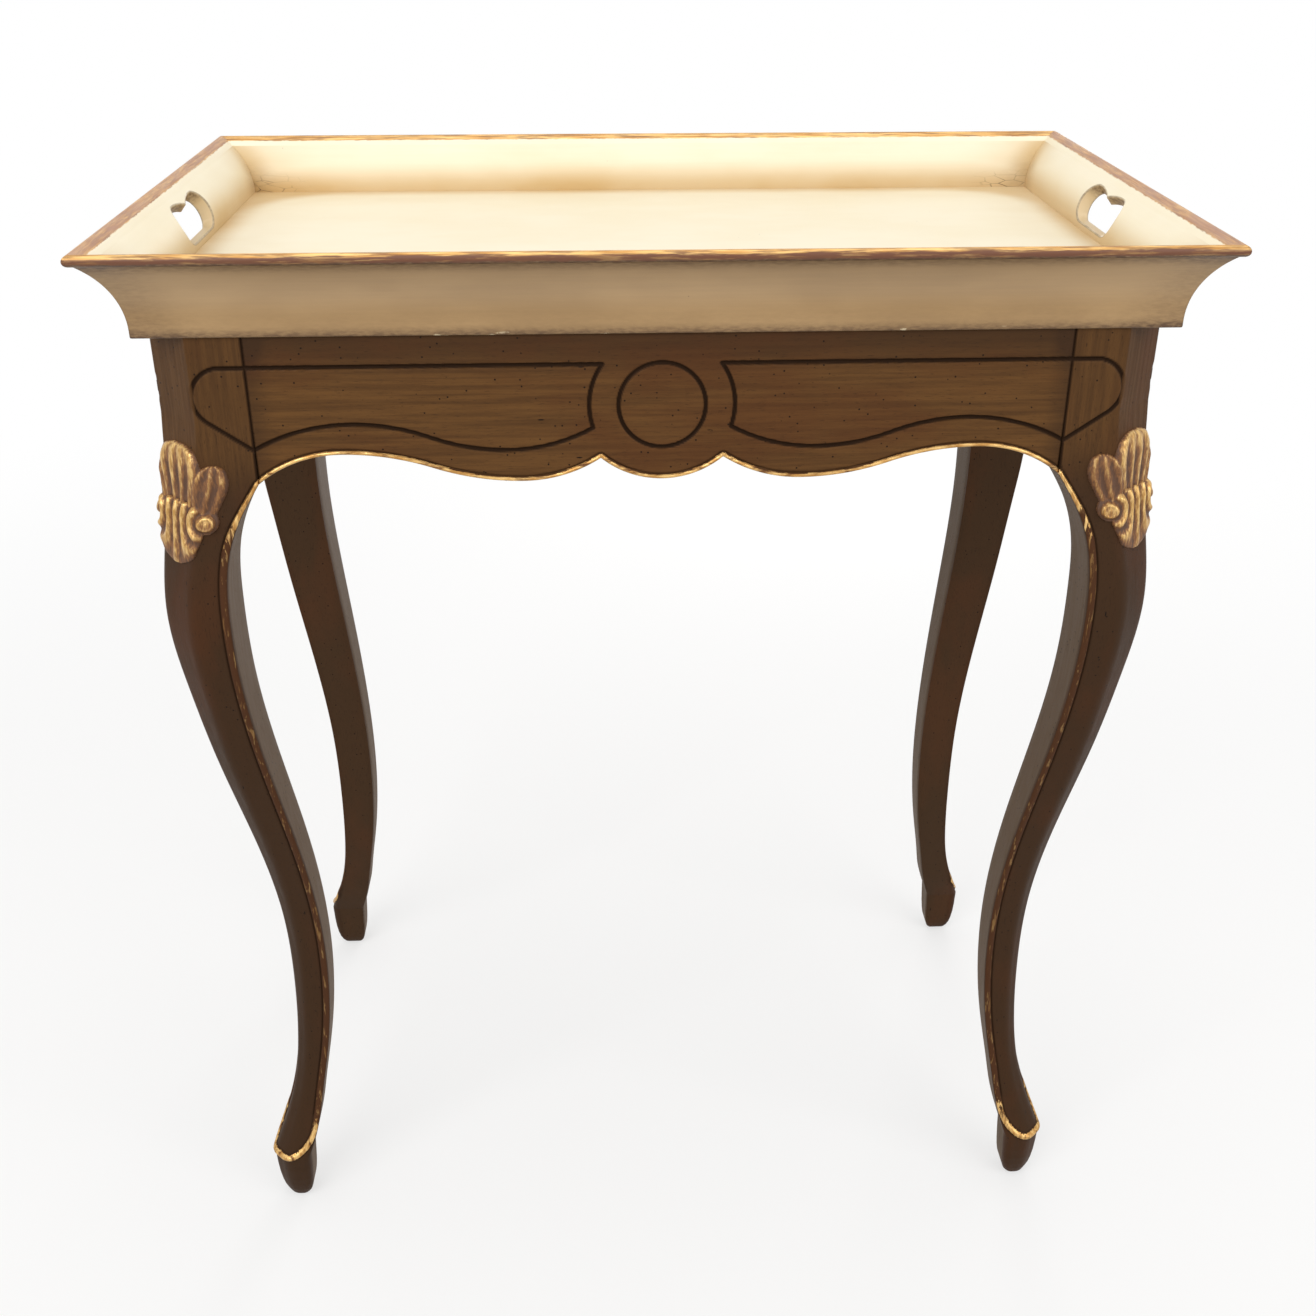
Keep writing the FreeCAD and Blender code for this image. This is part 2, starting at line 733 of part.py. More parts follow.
def build_tray():
    """Make and write the tray's pieces."""
    spline_groups = four_corners(mitre_spline())
    splines = Part.makeCompound(list(spline_groups.values()))
    long_wall = mitred_wall(tray_width, tray_depth / 2)
    end_wall = mitred_wall(tray_depth, tray_width / 2).cut(hand_hole(tray_width / 2))
    walls = {"front": long_wall, "right": turned(end_wall, 90), "back": turned(long_wall, 180),
             "left": turned(end_wall, 270)}
    for name, wall in walls.items():
        save("tray_" + name + "_wall", wall.cut(splines))
    save("tray_mitre_splines", splines)
    screws = {"left": batten_screws(-1), "right": batten_screws(1)}
    floor = tray_floor().cut(Part.makeCompound(screws["left"] + screws["right"]))
    save("tray_floor", floor)
    for name, side in (("left", -1), ("right", 1)):
        save("tray_" + name + "_batten", tray_batten(side).cut(Part.makeCompound(screws[name])))
    save("tray_batten_screws", Part.makeCompound(screws["left"] + screws["right"]))


def build_stand():
    """Make and write the stand's pieces."""
    screw = block_screw()
    stock = leg_stock()
    pieces = {"leg": leg_block(stock).cut(screw), "knee_shell": knee_shell(stock),
              "corner_block": corner_block().cut(screw)}
    for name, piece in pieces.items():
        for corner, copy in four_corners(at_corner(piece)).items():
            save(name + "_" + corner, copy)
    save("corner_block_screws", Part.makeCompound(list(four_corners(at_corner(screw)).values())))
    long_apron = apron(stand_half_width - post_width, stand_half_depth, True)
    end_apron = apron(stand_half_depth - post_width, stand_half_width, False)
    save("front_apron", long_apron)
    save("right_apron", turned(end_apron, 90))
    save("back_apron", turned(long_apron, 180))
    save("left_apron", turned(end_apron, 270))


os.makedirs("parts", exist_ok=True)
build_tray()
build_stand()
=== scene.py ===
"""Looks of the tray top tea table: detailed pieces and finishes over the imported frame."""
import logging
import math
from dataclasses import dataclass, replace
from enum import Enum

import bpy
import numpy as np
from mathutils import Matrix, Vector
from numpy.typing import NDArray


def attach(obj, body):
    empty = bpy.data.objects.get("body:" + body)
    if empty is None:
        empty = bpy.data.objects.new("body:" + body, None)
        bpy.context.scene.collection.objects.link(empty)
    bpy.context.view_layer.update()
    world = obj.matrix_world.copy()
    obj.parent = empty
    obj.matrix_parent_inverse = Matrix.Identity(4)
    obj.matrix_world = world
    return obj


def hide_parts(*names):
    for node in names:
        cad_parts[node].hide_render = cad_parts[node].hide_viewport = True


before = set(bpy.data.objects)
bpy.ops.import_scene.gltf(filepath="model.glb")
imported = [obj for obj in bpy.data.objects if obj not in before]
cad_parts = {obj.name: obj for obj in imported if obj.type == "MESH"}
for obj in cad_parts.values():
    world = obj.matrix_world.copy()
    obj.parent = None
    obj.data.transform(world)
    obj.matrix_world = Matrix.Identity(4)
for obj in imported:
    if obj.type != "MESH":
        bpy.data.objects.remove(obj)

Array = NDArray[np.float64]
Index = NDArray[np.int64]
Point = tuple[float, float]
Place = tuple[float, float, float]
Row = tuple[float, ...]
Socket = bpy.types.NodeSocket
Material = bpy.types.Material
MM = 0.001
FAR = 99.0
FINE = 400
BATCH = 4096
WAVES = 5
EIGHTH = math.pi / 4
QUARTER = math.pi / 2
CRISP = math.radians(50.0)
SIDES = ("front", "right", "back", "left")
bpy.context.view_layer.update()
LOG = logging.getLogger("tea_table")


def linear(code: str) -> tuple[float, float, float, float]:
    """Turn an sRGB hex colour into linear light.

    Args:
        code: Colour such as "#A1B2C3".

    Returns:
        Linear red, green, blue and a full alpha.
    """
    parts = [int(code[index:index + 2], 16) / 255 for index in (1, 3, 5)]
    light = [part / 12.92 if part <= 0.04045 else ((part + 0.055) / 1.055) ** 2.4 for part in parts]
    return light[0], light[1], light[2], 1.0


def ease(low: float, high: float, value: Array) -> Array:
    """Smooth step of a value from 0 at low to 1 at high."""
    share = np.clip((value - low) / (high - low), 0, 1)
    return share * share * (3 - 2 * share)


def half_round(share: Array) -> Array:
    """Height of a half circle over a share from -1 to 1, and 0 outside."""
    return np.sqrt(np.clip(1 - share * share, 0, 1))


@dataclass(frozen=True)
class Fade:
    """Value that grows from nothing at one distance to its strength at another."""

    start: float
    end: float
    strength: float = 1.0

    def at(self, distance: Array) -> Array:
        """Value at each distance, by a smooth step."""
        return self.strength * ease(self.start, self.end, distance)


def on_circle(turns: Array, radius: float, center: Point | Array) -> Array:
    """Points of a circle at the given angles."""
    return np.column_stack([np.cos(turns), np.sin(turns)]) * radius + center


def level_arc(flat: Point | Array, far: Point | Array, count: int = 24) -> Array:
    """Points of an arc that leaves one point level and runs to another.

    Args:
        flat: Point with the level tangent, as (across, up).
        far: Other end of the arc.
        count: Number of steps.

    Returns:
        Points from flat to far.
    """
    run, rise = far[0] - flat[0], far[1] - flat[1]
    radius = (run * run + rise * rise) / (2 * rise)
    turns = np.linspace(0, 2 * math.atan2(abs(rise), abs(run)), count + 1)
    across = flat[0] + math.copysign(1, run) * abs(radius) * np.sin(turns)
    return np.column_stack([across, flat[1] + radius * (1 - np.cos(turns))])


def arc_through(start: Point, middle: Point, end: Point, count: int) -> Array:
    """Points of the circular arc through three points.

    Args:
        start: First point.
        middle: Point that the arc passes.
        end: Last point.
        count: Number of steps.

    Returns:
        Points from start to end.
    """
    first, second, third = (np.array(point, dtype=float) for point in (start, middle, end))
    sides = 2 * np.array([second - first, third - first])
    center = np.linalg.solve(sides, [second @ second - first @ first, third @ third - first @ first])
    angles = [math.atan2(*(point - center)[::-1]) for point in (first, second, third)]
    turn = (angles[2] - angles[0]) % (2 * math.pi)
    if (angles[1] - angles[0]) % (2 * math.pi) > turn:
        turn -= 2 * math.pi
    return on_circle(angles[0] + np.linspace(0, turn, count + 1), np.linalg.norm(first - center), center)


def bent(start: Array, corner: Array, end: Array, share: Array) -> Array:
    """Points of a curve that leaves one point towards a corner and ends at another."""
    return (1 - share) ** 2 * start + 2 * share * (1 - share) * corner + share ** 2 * end


def interpolated(at: Array, marks: Array, rows: Array) -> Array:
    """Points read at some marks from rows of points whose marks rise."""
    return np.column_stack([np.interp(at, marks, values) for values in rows.T])


def distance_to(path: Array, points: Array) -> Array:
    """Distance of each point to a chain of straight steps.

    Args:
        path: Points of the chain.
        points: Points to measure from.

    Returns:
        One distance per point.
    """
    start, step = path[:-1], np.diff(path, axis=0)
    size = np.maximum((step ** 2).sum(axis=1), 1e-9)
    best = np.empty(len(points))
    for first in range(0, len(points), BATCH):
        reach = points[first:first + BATCH, None, :] - start
        along = np.clip((reach * step).sum(axis=2) / size, 0, 1)
        gap = reach - along[..., None] * step
        best[first:first + BATCH] = np.sqrt((gap ** 2).sum(axis=2)).min(axis=1)
    return best


class SmoothCurve:
    """Natural cubic curve through given values."""

    def __init__(self, places: Row | Array, values: Row | Array) -> None:
        """Fit the curve.

        Args:
            places: Rising places along it.
            values: Its value at each place.
        """
        self.places = np.array(places, dtype=float)
        self.values = np.array(values, dtype=float)
        steps = np.diff(self.places)
        slopes = np.diff(self.values) / steps
        matrix = np.eye(len(places))
        bends = np.zeros(len(places))
        for index in range(1, len(places) - 1):
            before, after = steps[index - 1], steps[index]
            matrix[index, index - 1:index + 2] = before, 2 * (before + after), after
            bends[index] = 6 * (slopes[index] - slopes[index - 1])
        self.bends = np.linalg.solve(matrix, bends)

    def __call__(self, at: Array) -> Array:
        """Values of the curve.

        Args:
            at: Places along it.

        Returns:
            One value per place.
        """
        index = np.clip(np.searchsorted(self.places, at) - 1, 0, len(self.places) - 2)
        step = self.places[index + 1] - self.places[index]
        low, high = (self.places[index + 1] - at) / step, (at - self.places[index]) / step
        curve = (low ** 3 - low) * self.bends[index] + (high ** 3 - high) * self.bends[index + 1]
        return low * self.values[index] + high * self.values[index + 1] + curve * step * step / 6


def wobble(wide: Array, high: Array, size: float, seed: int) -> Array:
    """Slow unevenness of hand work, from -1 to 1.

    Args:
        wide: First measure of each place in millimetres.
        high: Second measure of each place.
        size: Rough length of one swell.
        seed: Number that picks the pattern.

    Returns:
        One value per place.
    """
    points = np.column_stack([wide.ravel(), high.ravel(), 0 * wide.ravel()])
    random = np.random.default_rng(seed)
    total = np.zeros(len(points))
    for _ in range(WAVES):
        way = random.normal(size=3)
        way *= 2 * math.pi / (size * random.uniform(0.7, 1.6) * np.linalg.norm(way))
        total += np.sin(points @ way + random.uniform(0, 2 * math.pi))
    return (total / WAVES).reshape(wide.shape)


def ring_quads(rings: int, around: int) -> Index:
    """Quads that join closed rings of points.

    Args:
        rings: Number of rings, one after another.
        around: Number of points in a ring.

    Returns:
        Four point numbers per face.
    """
    first, here = np.arange(rings - 1)[:, None] * around, np.arange(around)
    after = np.roll(here, -1)
    corners = [first + here, first + after, first + around + after, first + around + here]
    return np.stack(corners, axis=-1).reshape(-1, 4)


def grid_quads(index: Index) -> Index:
    """Quads between the numbered points of a grid."""
    corners = [index[:-1, :-1], index[1:, :-1], index[1:, 1:], index[:-1, 1:]]
    return np.stack(corners, axis=-1).reshape(-1, 4)


def end_caps(rings: int, around: int) -> list[list[int]]:
    """Faces that close the first and the last of a row of rings."""
    last = (rings - 1) * around
    return [list(range(around)), list(range(last, last + around))[::-1]]


@dataclass
class Sculpt:
    """Points in millimetres, faces and painted masks of one piece."""

    points: Array
    quads: Index
    caps: list[list[int]]
    masks: dict[str, Array]

    def mirrored(self, axis: int) -> "Sculpt":
        """Copy on the other side of the table's middle.

        Args:
            axis: Axis across the middle plane.

        Returns:
            The mirrored piece.
        """
        points = self.points.copy()
        points[:, axis] *= -1
        return Sculpt(points, self.quads[:, ::-1], [cap[::-1] for cap in self.caps], self.masks)

    def turned(self, quarters: int) -> "Sculpt":
        """Copy turned about the table's upright axis.

        Args:
            quarters: Number of quarter turns.

        Returns:
            The turned piece.
        """
        points = self.points
        for _ in range(quarters % 4):
            points = np.column_stack([-points[:, 1], points[:, 0], points[:, 2]])
        return Sculpt(points, self.quads, self.caps, self.masks)

    def corners(self) -> dict[str, "Sculpt"]:
        """This front left piece and its copies for the other corners, by name."""
        right = self.mirrored(0)
        return {"front_left": self, "front_right": right, "back_left": self.mirrored(1),
                "back_right": right.mirrored(1)}

    def tidied(self) -> "Sculpt":
        """Clear up the piece.

        Returns:
            Copy without unused points, with its faces turned outwards.
        """
        used = np.zeros(len(self.points), dtype=bool)
        used[self.quads] = True
        for cap in self.caps:
            used[cap] = True
        place = np.cumsum(used) - 1
        points, quads = self.points[used], place[self.quads]
        caps = [place[cap].tolist() for cap in self.caps]
        masks = {name: mask[used] for name, mask in self.masks.items()}
        corners = points[quads] - points.mean(axis=0)
        volume = sum(np.einsum("ij,ij->", corners[:, 0], np.cross(corners[:, side], corners[:, side + 1]))
                     for side in (1, 2))
        if volume < 0:
            quads = quads[:, ::-1]
            caps = [cap[::-1] for cap in caps]
        return Sculpt(points, quads, caps, masks)

    def stand(self, name: str, finish: Material, body: str, slot: str, node: str) -> None:
        """Put the piece into the scene in place of a node.

        Args:
            name: Name of the new piece.
            finish: Its material.
            body: Body that it rides on.
            slot: Material slot of the record; not used.
            node: Node that it stands for.
        """
        mesh = bpy.data.meshes.new(name)
        mesh.from_pydata((self.points * MM).tolist(), [], self.quads.tolist() + self.caps)
        for label, mask in self.masks.items():
            mesh.attributes.new(label, "FLOAT", "POINT").data.foreach_set("value", mask.astype(np.float32))
        mesh.shade_smooth()
        mesh.set_sharp_from_angle(angle=CRISP)
        mesh.materials.append(finish)
        piece = bpy.data.objects.new(name, mesh)
        bpy.context.scene.collection.objects.link(piece)
        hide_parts(node)
        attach(piece, body)
        LOG.info("%s: %d points", name, len(self.points))


class GrainAxis(Enum):
    """Way that grain or brush marks run."""

    ALONG_X = 0
    ALONG_Y = 1
    ALONG_Z = 2


class NodeSheet:
    """Node tree of one material or of the world."""

    def __init__(self, owner: Material | bpy.types.World) -> None:
        """Start with an empty tree.

        Args:
            owner: Material or world that the tree belongs to.
        """
        self.owner = owner
        owner.use_nodes = True
        self.tree = owner.node_tree
        self.tree.nodes.clear()

    def add(self, kind: str, inputs: dict, out: int | str = 0, **settings: object) -> Socket:
        """Add a node with its settings, values and links.

        Args:
            kind: Type name of the node.
            inputs: Values or sockets by input name or number.
            out: Number or name of the output to hand back.
            **settings: Options of the node.

        Returns:
            The chosen output socket, or the first input of a node without outputs.
        """
        node = self.tree.nodes.new(kind)
        for label, value in settings.items():
            setattr(node, label, value)
        for label, value in inputs.items():
            if isinstance(value, Socket):
                self.tree.links.new(value, node.inputs[label])
            else:
                node.inputs[label].default_value = value
        return node.outputs[out] if node.outputs else node.inputs[0]

    def masks(self, *names: str) -> dict[str, Socket]:
        """Painted masks of the mesh, by name."""
        return {name: self.add("ShaderNodeAttribute", {}, out=2, attribute_name=name) for name in names}

    def math(self, operation: str, *values: Socket | float, clamp: bool = False) -> Socket:
        """Result of one sum over sockets and numbers."""
        return self.add("ShaderNodeMath", dict(enumerate(values)), operation=operation, use_clamp=clamp)

    def times(self, first: Socket, second: Socket | float, clamp: bool = False) -> Socket:
        """Product of two values."""
        return self.math("MULTIPLY", first, second, clamp=clamp)

    def step(self, value: Socket, ends: Point) -> Socket:
        """Smooth step of a value from 0 at the first end to 1 at the second."""
        settings = {0: value, 1: ends[0], 2: ends[1]}
        return self.add("ShaderNodeMapRange", settings, interpolation_type="SMOOTHSTEP")

    def spread(self, value: Socket, ends: Point) -> Socket:
        """Value from 0 to 1 stretched to run between two ends."""
        return self.add("ShaderNodeMapRange", {0: value, 3: ends[0], 4: ends[1]})

    def mix(self, share: Socket, first: Socket | str, second: Socket | str) -> Socket:
        """Blend of two colours, each a socket or an sRGB hex code."""
        ends = [linear(end) if isinstance(end, str) else end for end in (first, second)]
        return self.add("ShaderNodeMix", {0: share, 6: ends[0], 7: ends[1]}, out=2, data_type="RGBA")

    def layered(self, base: Socket | str, *coats: tuple[Socket, Socket | str]) -> Socket:
        """Colour under coats.

        Args:
            base: Colour below.
            *coats: Share and colour of each coat, the lowest first.

        Returns:
            Socket with the colour.
        """
        for share, coat in coats:
            base = self.mix(share, base, coat)
        return base

    def cells(self, axis: GrainAxis, along: float, across: float) -> Socket:
        """Place of a point on the piece, counted in pattern cells.

        Args:
            axis: Long way of the cells.
            along: Length of a cell in millimetres.
            across: Width of a cell in millimetres.

        Returns:
            Socket with the scaled place.
        """
        scale = [1 / (across * MM)] * 3
        scale[axis.value] = 1 / (along * MM)
        place = self.add("ShaderNodeTexCoord", {}, out=3)
        return self.add("ShaderNodeMapping", {"Vector": place, "Scale": scale})

    def bump(self, height: Socket, strength: float, depth: float, sunk: bool = False) -> Socket:
        """Relief of fine marks, raised or sunk by a depth in millimetres."""
        settings = {"Height": height, "Strength": strength, "Distance": depth * MM}
        return self.add("ShaderNodeBump", settings, invert=sunk)

    def background_rays(self) -> Socket:
        """Test for rays that show the background.

        Returns:
            Socket with 1 for rays to the camera or in gloss and glass.
        """
        seen = self.add("ShaderNodeLightPath", {}, out="Is Camera Ray")
        for kind in ("Is Glossy Ray", "Is Transmission Ray"):
            seen = self.math("MAXIMUM", seen, self.add("ShaderNodeLightPath", {}, out=kind))
        return seen

    def close(self, surface: Socket) -> Material:
        """Lead a surface to the output and hand the material back."""
        self.add("ShaderNodeOutputMaterial", {"Surface": surface})
        return self.owner

    def shaded(self, inputs: dict) -> Material:
        """Close the material with one shader that has these inputs."""
        return self.close(self.add("ShaderNodeBsdfPrincipled", inputs))


@dataclass(frozen=True)
class Pattern:
    """Soft noise: length and width of a cell in millimetres, levels that become 0 and 1, and octaves."""

    along: float
    across: float
    low: float
    high: float
    detail: float = 3.0

    def value(self, sheet: NodeSheet, axis: GrainAxis) -> Socket:
        """Add the noise to a material.

        Args:
            sheet: Material that gets the nodes.
            axis: Long way of the cells.

        Returns:
            Socket with a value from 0 to 1.
        """
        cells = sheet.cells(axis, self.along, self.across)
        settings = {"Vector": cells, "Scale": 1.0, "Detail": self.detail, "Roughness": 0.6}
        return sheet.step(sheet.add("ShaderNodeTexNoise", settings), (self.low, self.high))


@dataclass(frozen=True)
class Specks:
    """Scattered spots: millimetres between them, radius, share that shows and how drawn out they are."""

    spacing: float
    radius: float
    share: float
    drawn: float = 1.0

    def value(self, sheet: NodeSheet, axis: GrainAxis) -> Socket:
        """Add the spots to a material.

        Args:
            sheet: Material that gets the nodes.
            axis: Way that the spots are drawn out.

        Returns:
            Socket with 1 on the spots.
        """
        cells = sheet.cells(axis, self.spacing * self.drawn, self.spacing)
        settings = {"Vector": cells, "Scale": 1.0, "Randomness": 1.0}
        distance, chance = (sheet.add("ShaderNodeTexVoronoi", settings, out=out) for out in (0, 1))
        pick = sheet.add("ShaderNodeSeparateColor", {0: chance})
        reach = self.radius / self.spacing
        spot = sheet.step(distance, (reach, reach / 2))
        return sheet.times(spot, sheet.math("LESS_THAN", pick, self.share))


@dataclass(frozen=True)
class OldGilding:
    """Leaf that has worn through to red clay: warm metal in streaks over a matt brown ground."""

    bright: str = "#E6BE7C"
    deep: str = "#B5854A"
    clay: str = "#6A432A"
    metal: float = 0.75
    streaks: Pattern = Pattern(12.0, 2.5, 0.35, 0.65, 5.0)

    def tone(self, sheet: NodeSheet, wear: Socket, axis: GrainAxis) -> Socket:
        """Colour of the gilding, with its streaks along an axis and clay where the leaf is gone."""
        return sheet.layered(self.deep, (self.streaks.value(sheet, axis), self.bright), (wear, self.clay))

    def shine(self, sheet: NodeSheet, wear: Socket, leaf: Socket | float) -> Socket:
        """Metal of the gilding where leaf lies and isn't worn."""
        return sheet.times(sheet.math("MULTIPLY", leaf, sheet.math("SUBTRACT", 1.0, wear)), self.metal)


@dataclass(frozen=True)
class StainedWalnut:
    """Brown stained, waxed wood: satin, fine grain, worm specks, dark scribed lines and worn gilt beads."""

    grain: GrainAxis
    light: str = "#6B4A29"
    deep: str = "#553A21"
    # Colour of the painted shade on the rails and legs.
    shade: str = "#402C1C"
    red: str = "#55311C"
    pore: str = "#1D130B"
    line: str = "#2A1C12"
    plain: str = "#5E4A36"
    primer: str = "#4E311E"
    gilding: OldGilding = OldGilding()
    figure: Pattern = Pattern(60, 2.4, 0.28, 0.72, 5.0)
    cloud: Pattern = Pattern(110, 45, 0.45, 0.7)
    pores: Pattern = Pattern(6, 0.45, 0.6, 0.74, 1.0)
    patch: Pattern = Pattern(18, 1.8, 0.4, 0.62, 4.0)
    wear: Pattern = Pattern(14, 3, 0.5, 0.7, 5.0)
    dots: Specks = Specks(4.5, 0.7, 0.45)
    nicks: Specks = Specks(6, 0.6, 0.16, 4)
    redness: float = 0.45
    pore_tint: float = 0.4
    ragged: float = 0.5
    leaf_edge: Point = (0.62, 0.85)
    waxed: Point = (0.56, 0.46)
    leaf_rough: float = 0.34
    gleam: Point = (0.08, 0.025)
    dent_strength: float = 0.35
    dent_depth: float = 0.25

    def material(self) -> Material:
        """Make the finish.

        Returns:
            The material.
        """
        sheet = NodeSheet(bpy.data.materials.new("stained_walnut_" + self.grain.name.lower()))
        masks = sheet.masks("gilt", "bead", "line", "inside", "painted_shade")
        patterns = (self.figure, self.cloud, self.pores, self.patch, self.wear, self.dots, self.nicks)
        values = [pattern.value(sheet, self.grain) for pattern in patterns]
        figure, cloud, pores, patch, wear, dots, nicks = values
        spots = sheet.math("MAXIMUM", dots, nicks)
        # Painted shade: the shade colour darkens the rails under the tray, their ends at the legs and the
        # legs from the knee down. The line colour covers the scribed lines and also paints shade into the
        # quirks beside the beads.
        wood = sheet.layered(
            self.deep, (figure, self.light), (masks["painted_shade"], self.shade),
            (sheet.times(cloud, self.redness), self.red), (masks["inside"], self.plain),
            (sheet.times(pores, self.pore_tint), self.pore), (spots, self.pore),
            (masks["line"], self.line), (masks["bead"], self.primer))
        leaf = sheet.step(sheet.math("MULTIPLY_ADD", patch, self.ragged, masks["gilt"]), self.leaf_edge)
        metal = self.gilding.shine(sheet, wear, leaf)
        waxed = sheet.spread(figure, self.waxed)
        settings = {0: metal, 2: self.gilding.metal, 3: waxed, 4: self.leaf_rough}
        return sheet.shaded({
            "Base Color": sheet.mix(leaf, wood, self.gilding.tone(sheet, wear, self.grain)),
            "Metallic": metal,
            "Roughness": sheet.add("ShaderNodeMapRange", settings),
            "Specular IOR Level": sheet.spread(masks["line"], self.gleam),
            "Normal": sheet.bump(sheet.math("ADD", pores, spots), self.dent_strength, self.dent_depth, True),
        })


@dataclass(frozen=True)
class AntiquedCream:
    """Cream paint, glazed brown and darkened with painted shade: bright inside, light brown in the corners
    and towards the floor, a darker buff on the cove outside, with a gilt rim whose end walls get a painted
    pinkish reflection.
    """

    brush: GrainAxis
    cream: str = "#F3E9CF"
    warm: str = "#EBDAB2"
    # Inside glazing colour and the cove's two colours: paint that also carries painted shade.
    glaze_and_shade: str = "#CDAC76"
    cove_beige_and_shade: str = "#BE9F77"
    cove_tan_and_shade: str = "#B59365"
    dark: str = "#5A4029"
    chip: str = "#D2C09E"
    # Colour of the painted reflection on the end walls' rim.
    painted_reflection: str = "#B28A76"
    gilding: OldGilding = OldGilding(
        "#EFC580", "#B98444", "#6E432B", 0.65, Pattern(34, 1.6, 0.35, 0.65, 5.0))
    streak: Pattern = Pattern(60, 2.2, 0.3, 0.7, 4.0)
    cloud: Pattern = Pattern(110, 60, 0.35, 0.7)
    patch: Pattern = Pattern(26, 9, 0.35, 0.65, 5.0)
    fine: Pattern = Pattern(6, 2, 0.4, 0.62, 4.0)
    speckle: Pattern = Pattern(5.0, 1.6, 0.3, 0.7, 6.0)
    rubbed: Pattern = Pattern(22, 1.8, 0.36, 0.64, 5.0)
    flecks: Specks = Specks(14, 0.45, 0.12)
    crackle: Point = (14, 4)
    streaked: float = 0.35
    mellowed: float = 0.3
    glaze_shade_share: Point = (0.85, 1.1)
    haze: float = 0.16
    broken: Point = (0.65, 1.3)
    hair: Point = (0.045, 0.012)
    fleck_tint: float = 0.5
    knock: Point = (0.95, 0.99)
    ragged: float = 0.22
    leaf_edge: Point = (0.42, 0.8)
    loss: float = 0.55
    loss_edge: Point = (0.35, 1.05)
    # Spread of the painted reflection over the patch noise.
    reflection_patch: Point = (1.0, 0.6)
    rough: Point = (0.5, 0.42)
    brush_strength: float = 0.2
    brush_depth: float = 0.1

    def material(self) -> Material:
        """Make the finish.

        Returns:
            The material.
        """
        sheet = NodeSheet(bpy.data.materials.new("antiqued_cream_paint_" + self.brush.name.lower()))
        masks = sheet.masks("gilt", "cove", "glaze_and_shade", "grime_and_shade", "crack", "worn", "chip", "painted_reflection")
        patterns = (self.streak, self.cloud, self.patch, self.fine, self.speckle, self.rubbed, self.flecks)
        values = [pattern.value(sheet, self.brush) for pattern in patterns]
        streak, cloud, patch, fine, speckle, rubbed, flecks = values
        mottle = sheet.math("MULTIPLY_ADD", streak, self.streaked, cloud)
        # Glazing and painted shade: inside it darkens the cream in the corners and towards the floor, on the
        # cove it darkens towards the foot.
        glaze_shade_share = sheet.times(masks["glaze_and_shade"], sheet.spread(cloud, self.glaze_shade_share), clamp=True)
        mellow = sheet.times(mottle, self.mellowed)
        inner = sheet.layered(self.cream, (mellow, self.warm), (glaze_shade_share, self.glaze_and_shade))
        # The cove's outer colours are partly its paint and partly painted shade.
        outer = sheet.mix(glaze_shade_share, self.cove_beige_and_shade, self.cove_tan_and_shade)
        haze = sheet.times(sheet.times(mottle, masks["cove"]), self.haze)
        # Soiling and painted shade, broken up by speckle.
        dirt_and_shade = sheet.times(masks["grime_and_shade"], sheet.spread(speckle, self.broken), clamp=True)
        settings = {"Vector": sheet.cells(self.brush, *self.crackle), "Scale": 1.0}
        net = sheet.add("ShaderNodeTexVoronoi", settings, feature="DISTANCE_TO_EDGE")
        crack = sheet.times(sheet.times(sheet.step(net, self.hair), patch), masks["crack"])
        marks = sheet.math("MAXIMUM", crack, sheet.times(flecks, self.fleck_tint))
        bared = sheet.times(sheet.step(patch, self.knock), masks["chip"])
        paint = sheet.layered(inner, (masks["cove"], outer), (haze, self.dark), (dirt_and_shade, self.dark),
                              (marks, self.dark), (bared, self.chip))
        leaf = sheet.step(sheet.math("MULTIPLY_ADD", fine, self.ragged, masks["gilt"]), self.leaf_edge)
        wear = sheet.step(sheet.math("MULTIPLY_ADD", rubbed, self.loss, masks["worn"]), self.loss_edge)
        # Painted reflection: a pinkish tone over the end walls' rim leaf, standing in for what the leaf
        # reflects.
        reflection_patch = sheet.times(masks["painted_reflection"], sheet.spread(patch, self.reflection_patch))
        gold = sheet.mix(reflection_patch, self.gilding.tone(sheet, wear, self.brush), self.painted_reflection)
        height = sheet.math("MULTIPLY_ADD", marks, -1.0, streak)
        return sheet.shaded({
            "Base Color": sheet.mix(leaf, paint, gold),
            "Metallic": self.gilding.shine(sheet, wear, leaf),
            "Roughness": sheet.spread(streak, self.rough),
            "Normal": sheet.bump(height, self.brush_strength, self.brush_depth),
        })


@dataclass(frozen=True)
class CarvedGilding:
    """Gilded carving: bright ridges, red clay on the slopes, a grimy brown in the hollows, and painted light
    and shade along the leaves.
    """

    gilding: OldGilding = OldGilding(
        "#E4BE7C", "#B98B4A", "#86582F", 0.6, Pattern(7.0, 1.4, 0.35, 0.65, 5.0))
    hollow: str = "#54351F"
    fine: Pattern = Pattern(6, 1.6, 0.35, 0.65, 5.0)
    broken: float = 0.35
    worn: Point = (1.0, 0.5)
    grimy: Point = (0.62, 0.2)
    rough: Point = (0.36, 0.6)
    mark_strength: float = 0.3
    mark_depth: float = 0.2

    def material(self) -> Material:
        """Make the finish.

        Returns:
            The material.
        """
        sheet = NodeSheet(bpy.data.materials.new("worn_gilding"))
        fine = self.fine.value(sheet, GrainAxis.ALONG_Z)
        mixed = sheet.math("MULTIPLY_ADD", fine, self.broken, sheet.masks("ridge")["ridge"])
        wear = sheet.step(mixed, self.worn)
        gold = self.gilding.tone(sheet, wear, GrainAxis.ALONG_Z)
        return sheet.shaded({
            "Base Color": sheet.mix(sheet.step(mixed, self.grimy), gold, self.hollow),
            "Metallic": self.gilding.shine(sheet, wear, 1.0),
            "Roughness": sheet.spread(wear, self.rough),
            "Normal": sheet.bump(fine, self.mark_strength, self.mark_depth),
        })


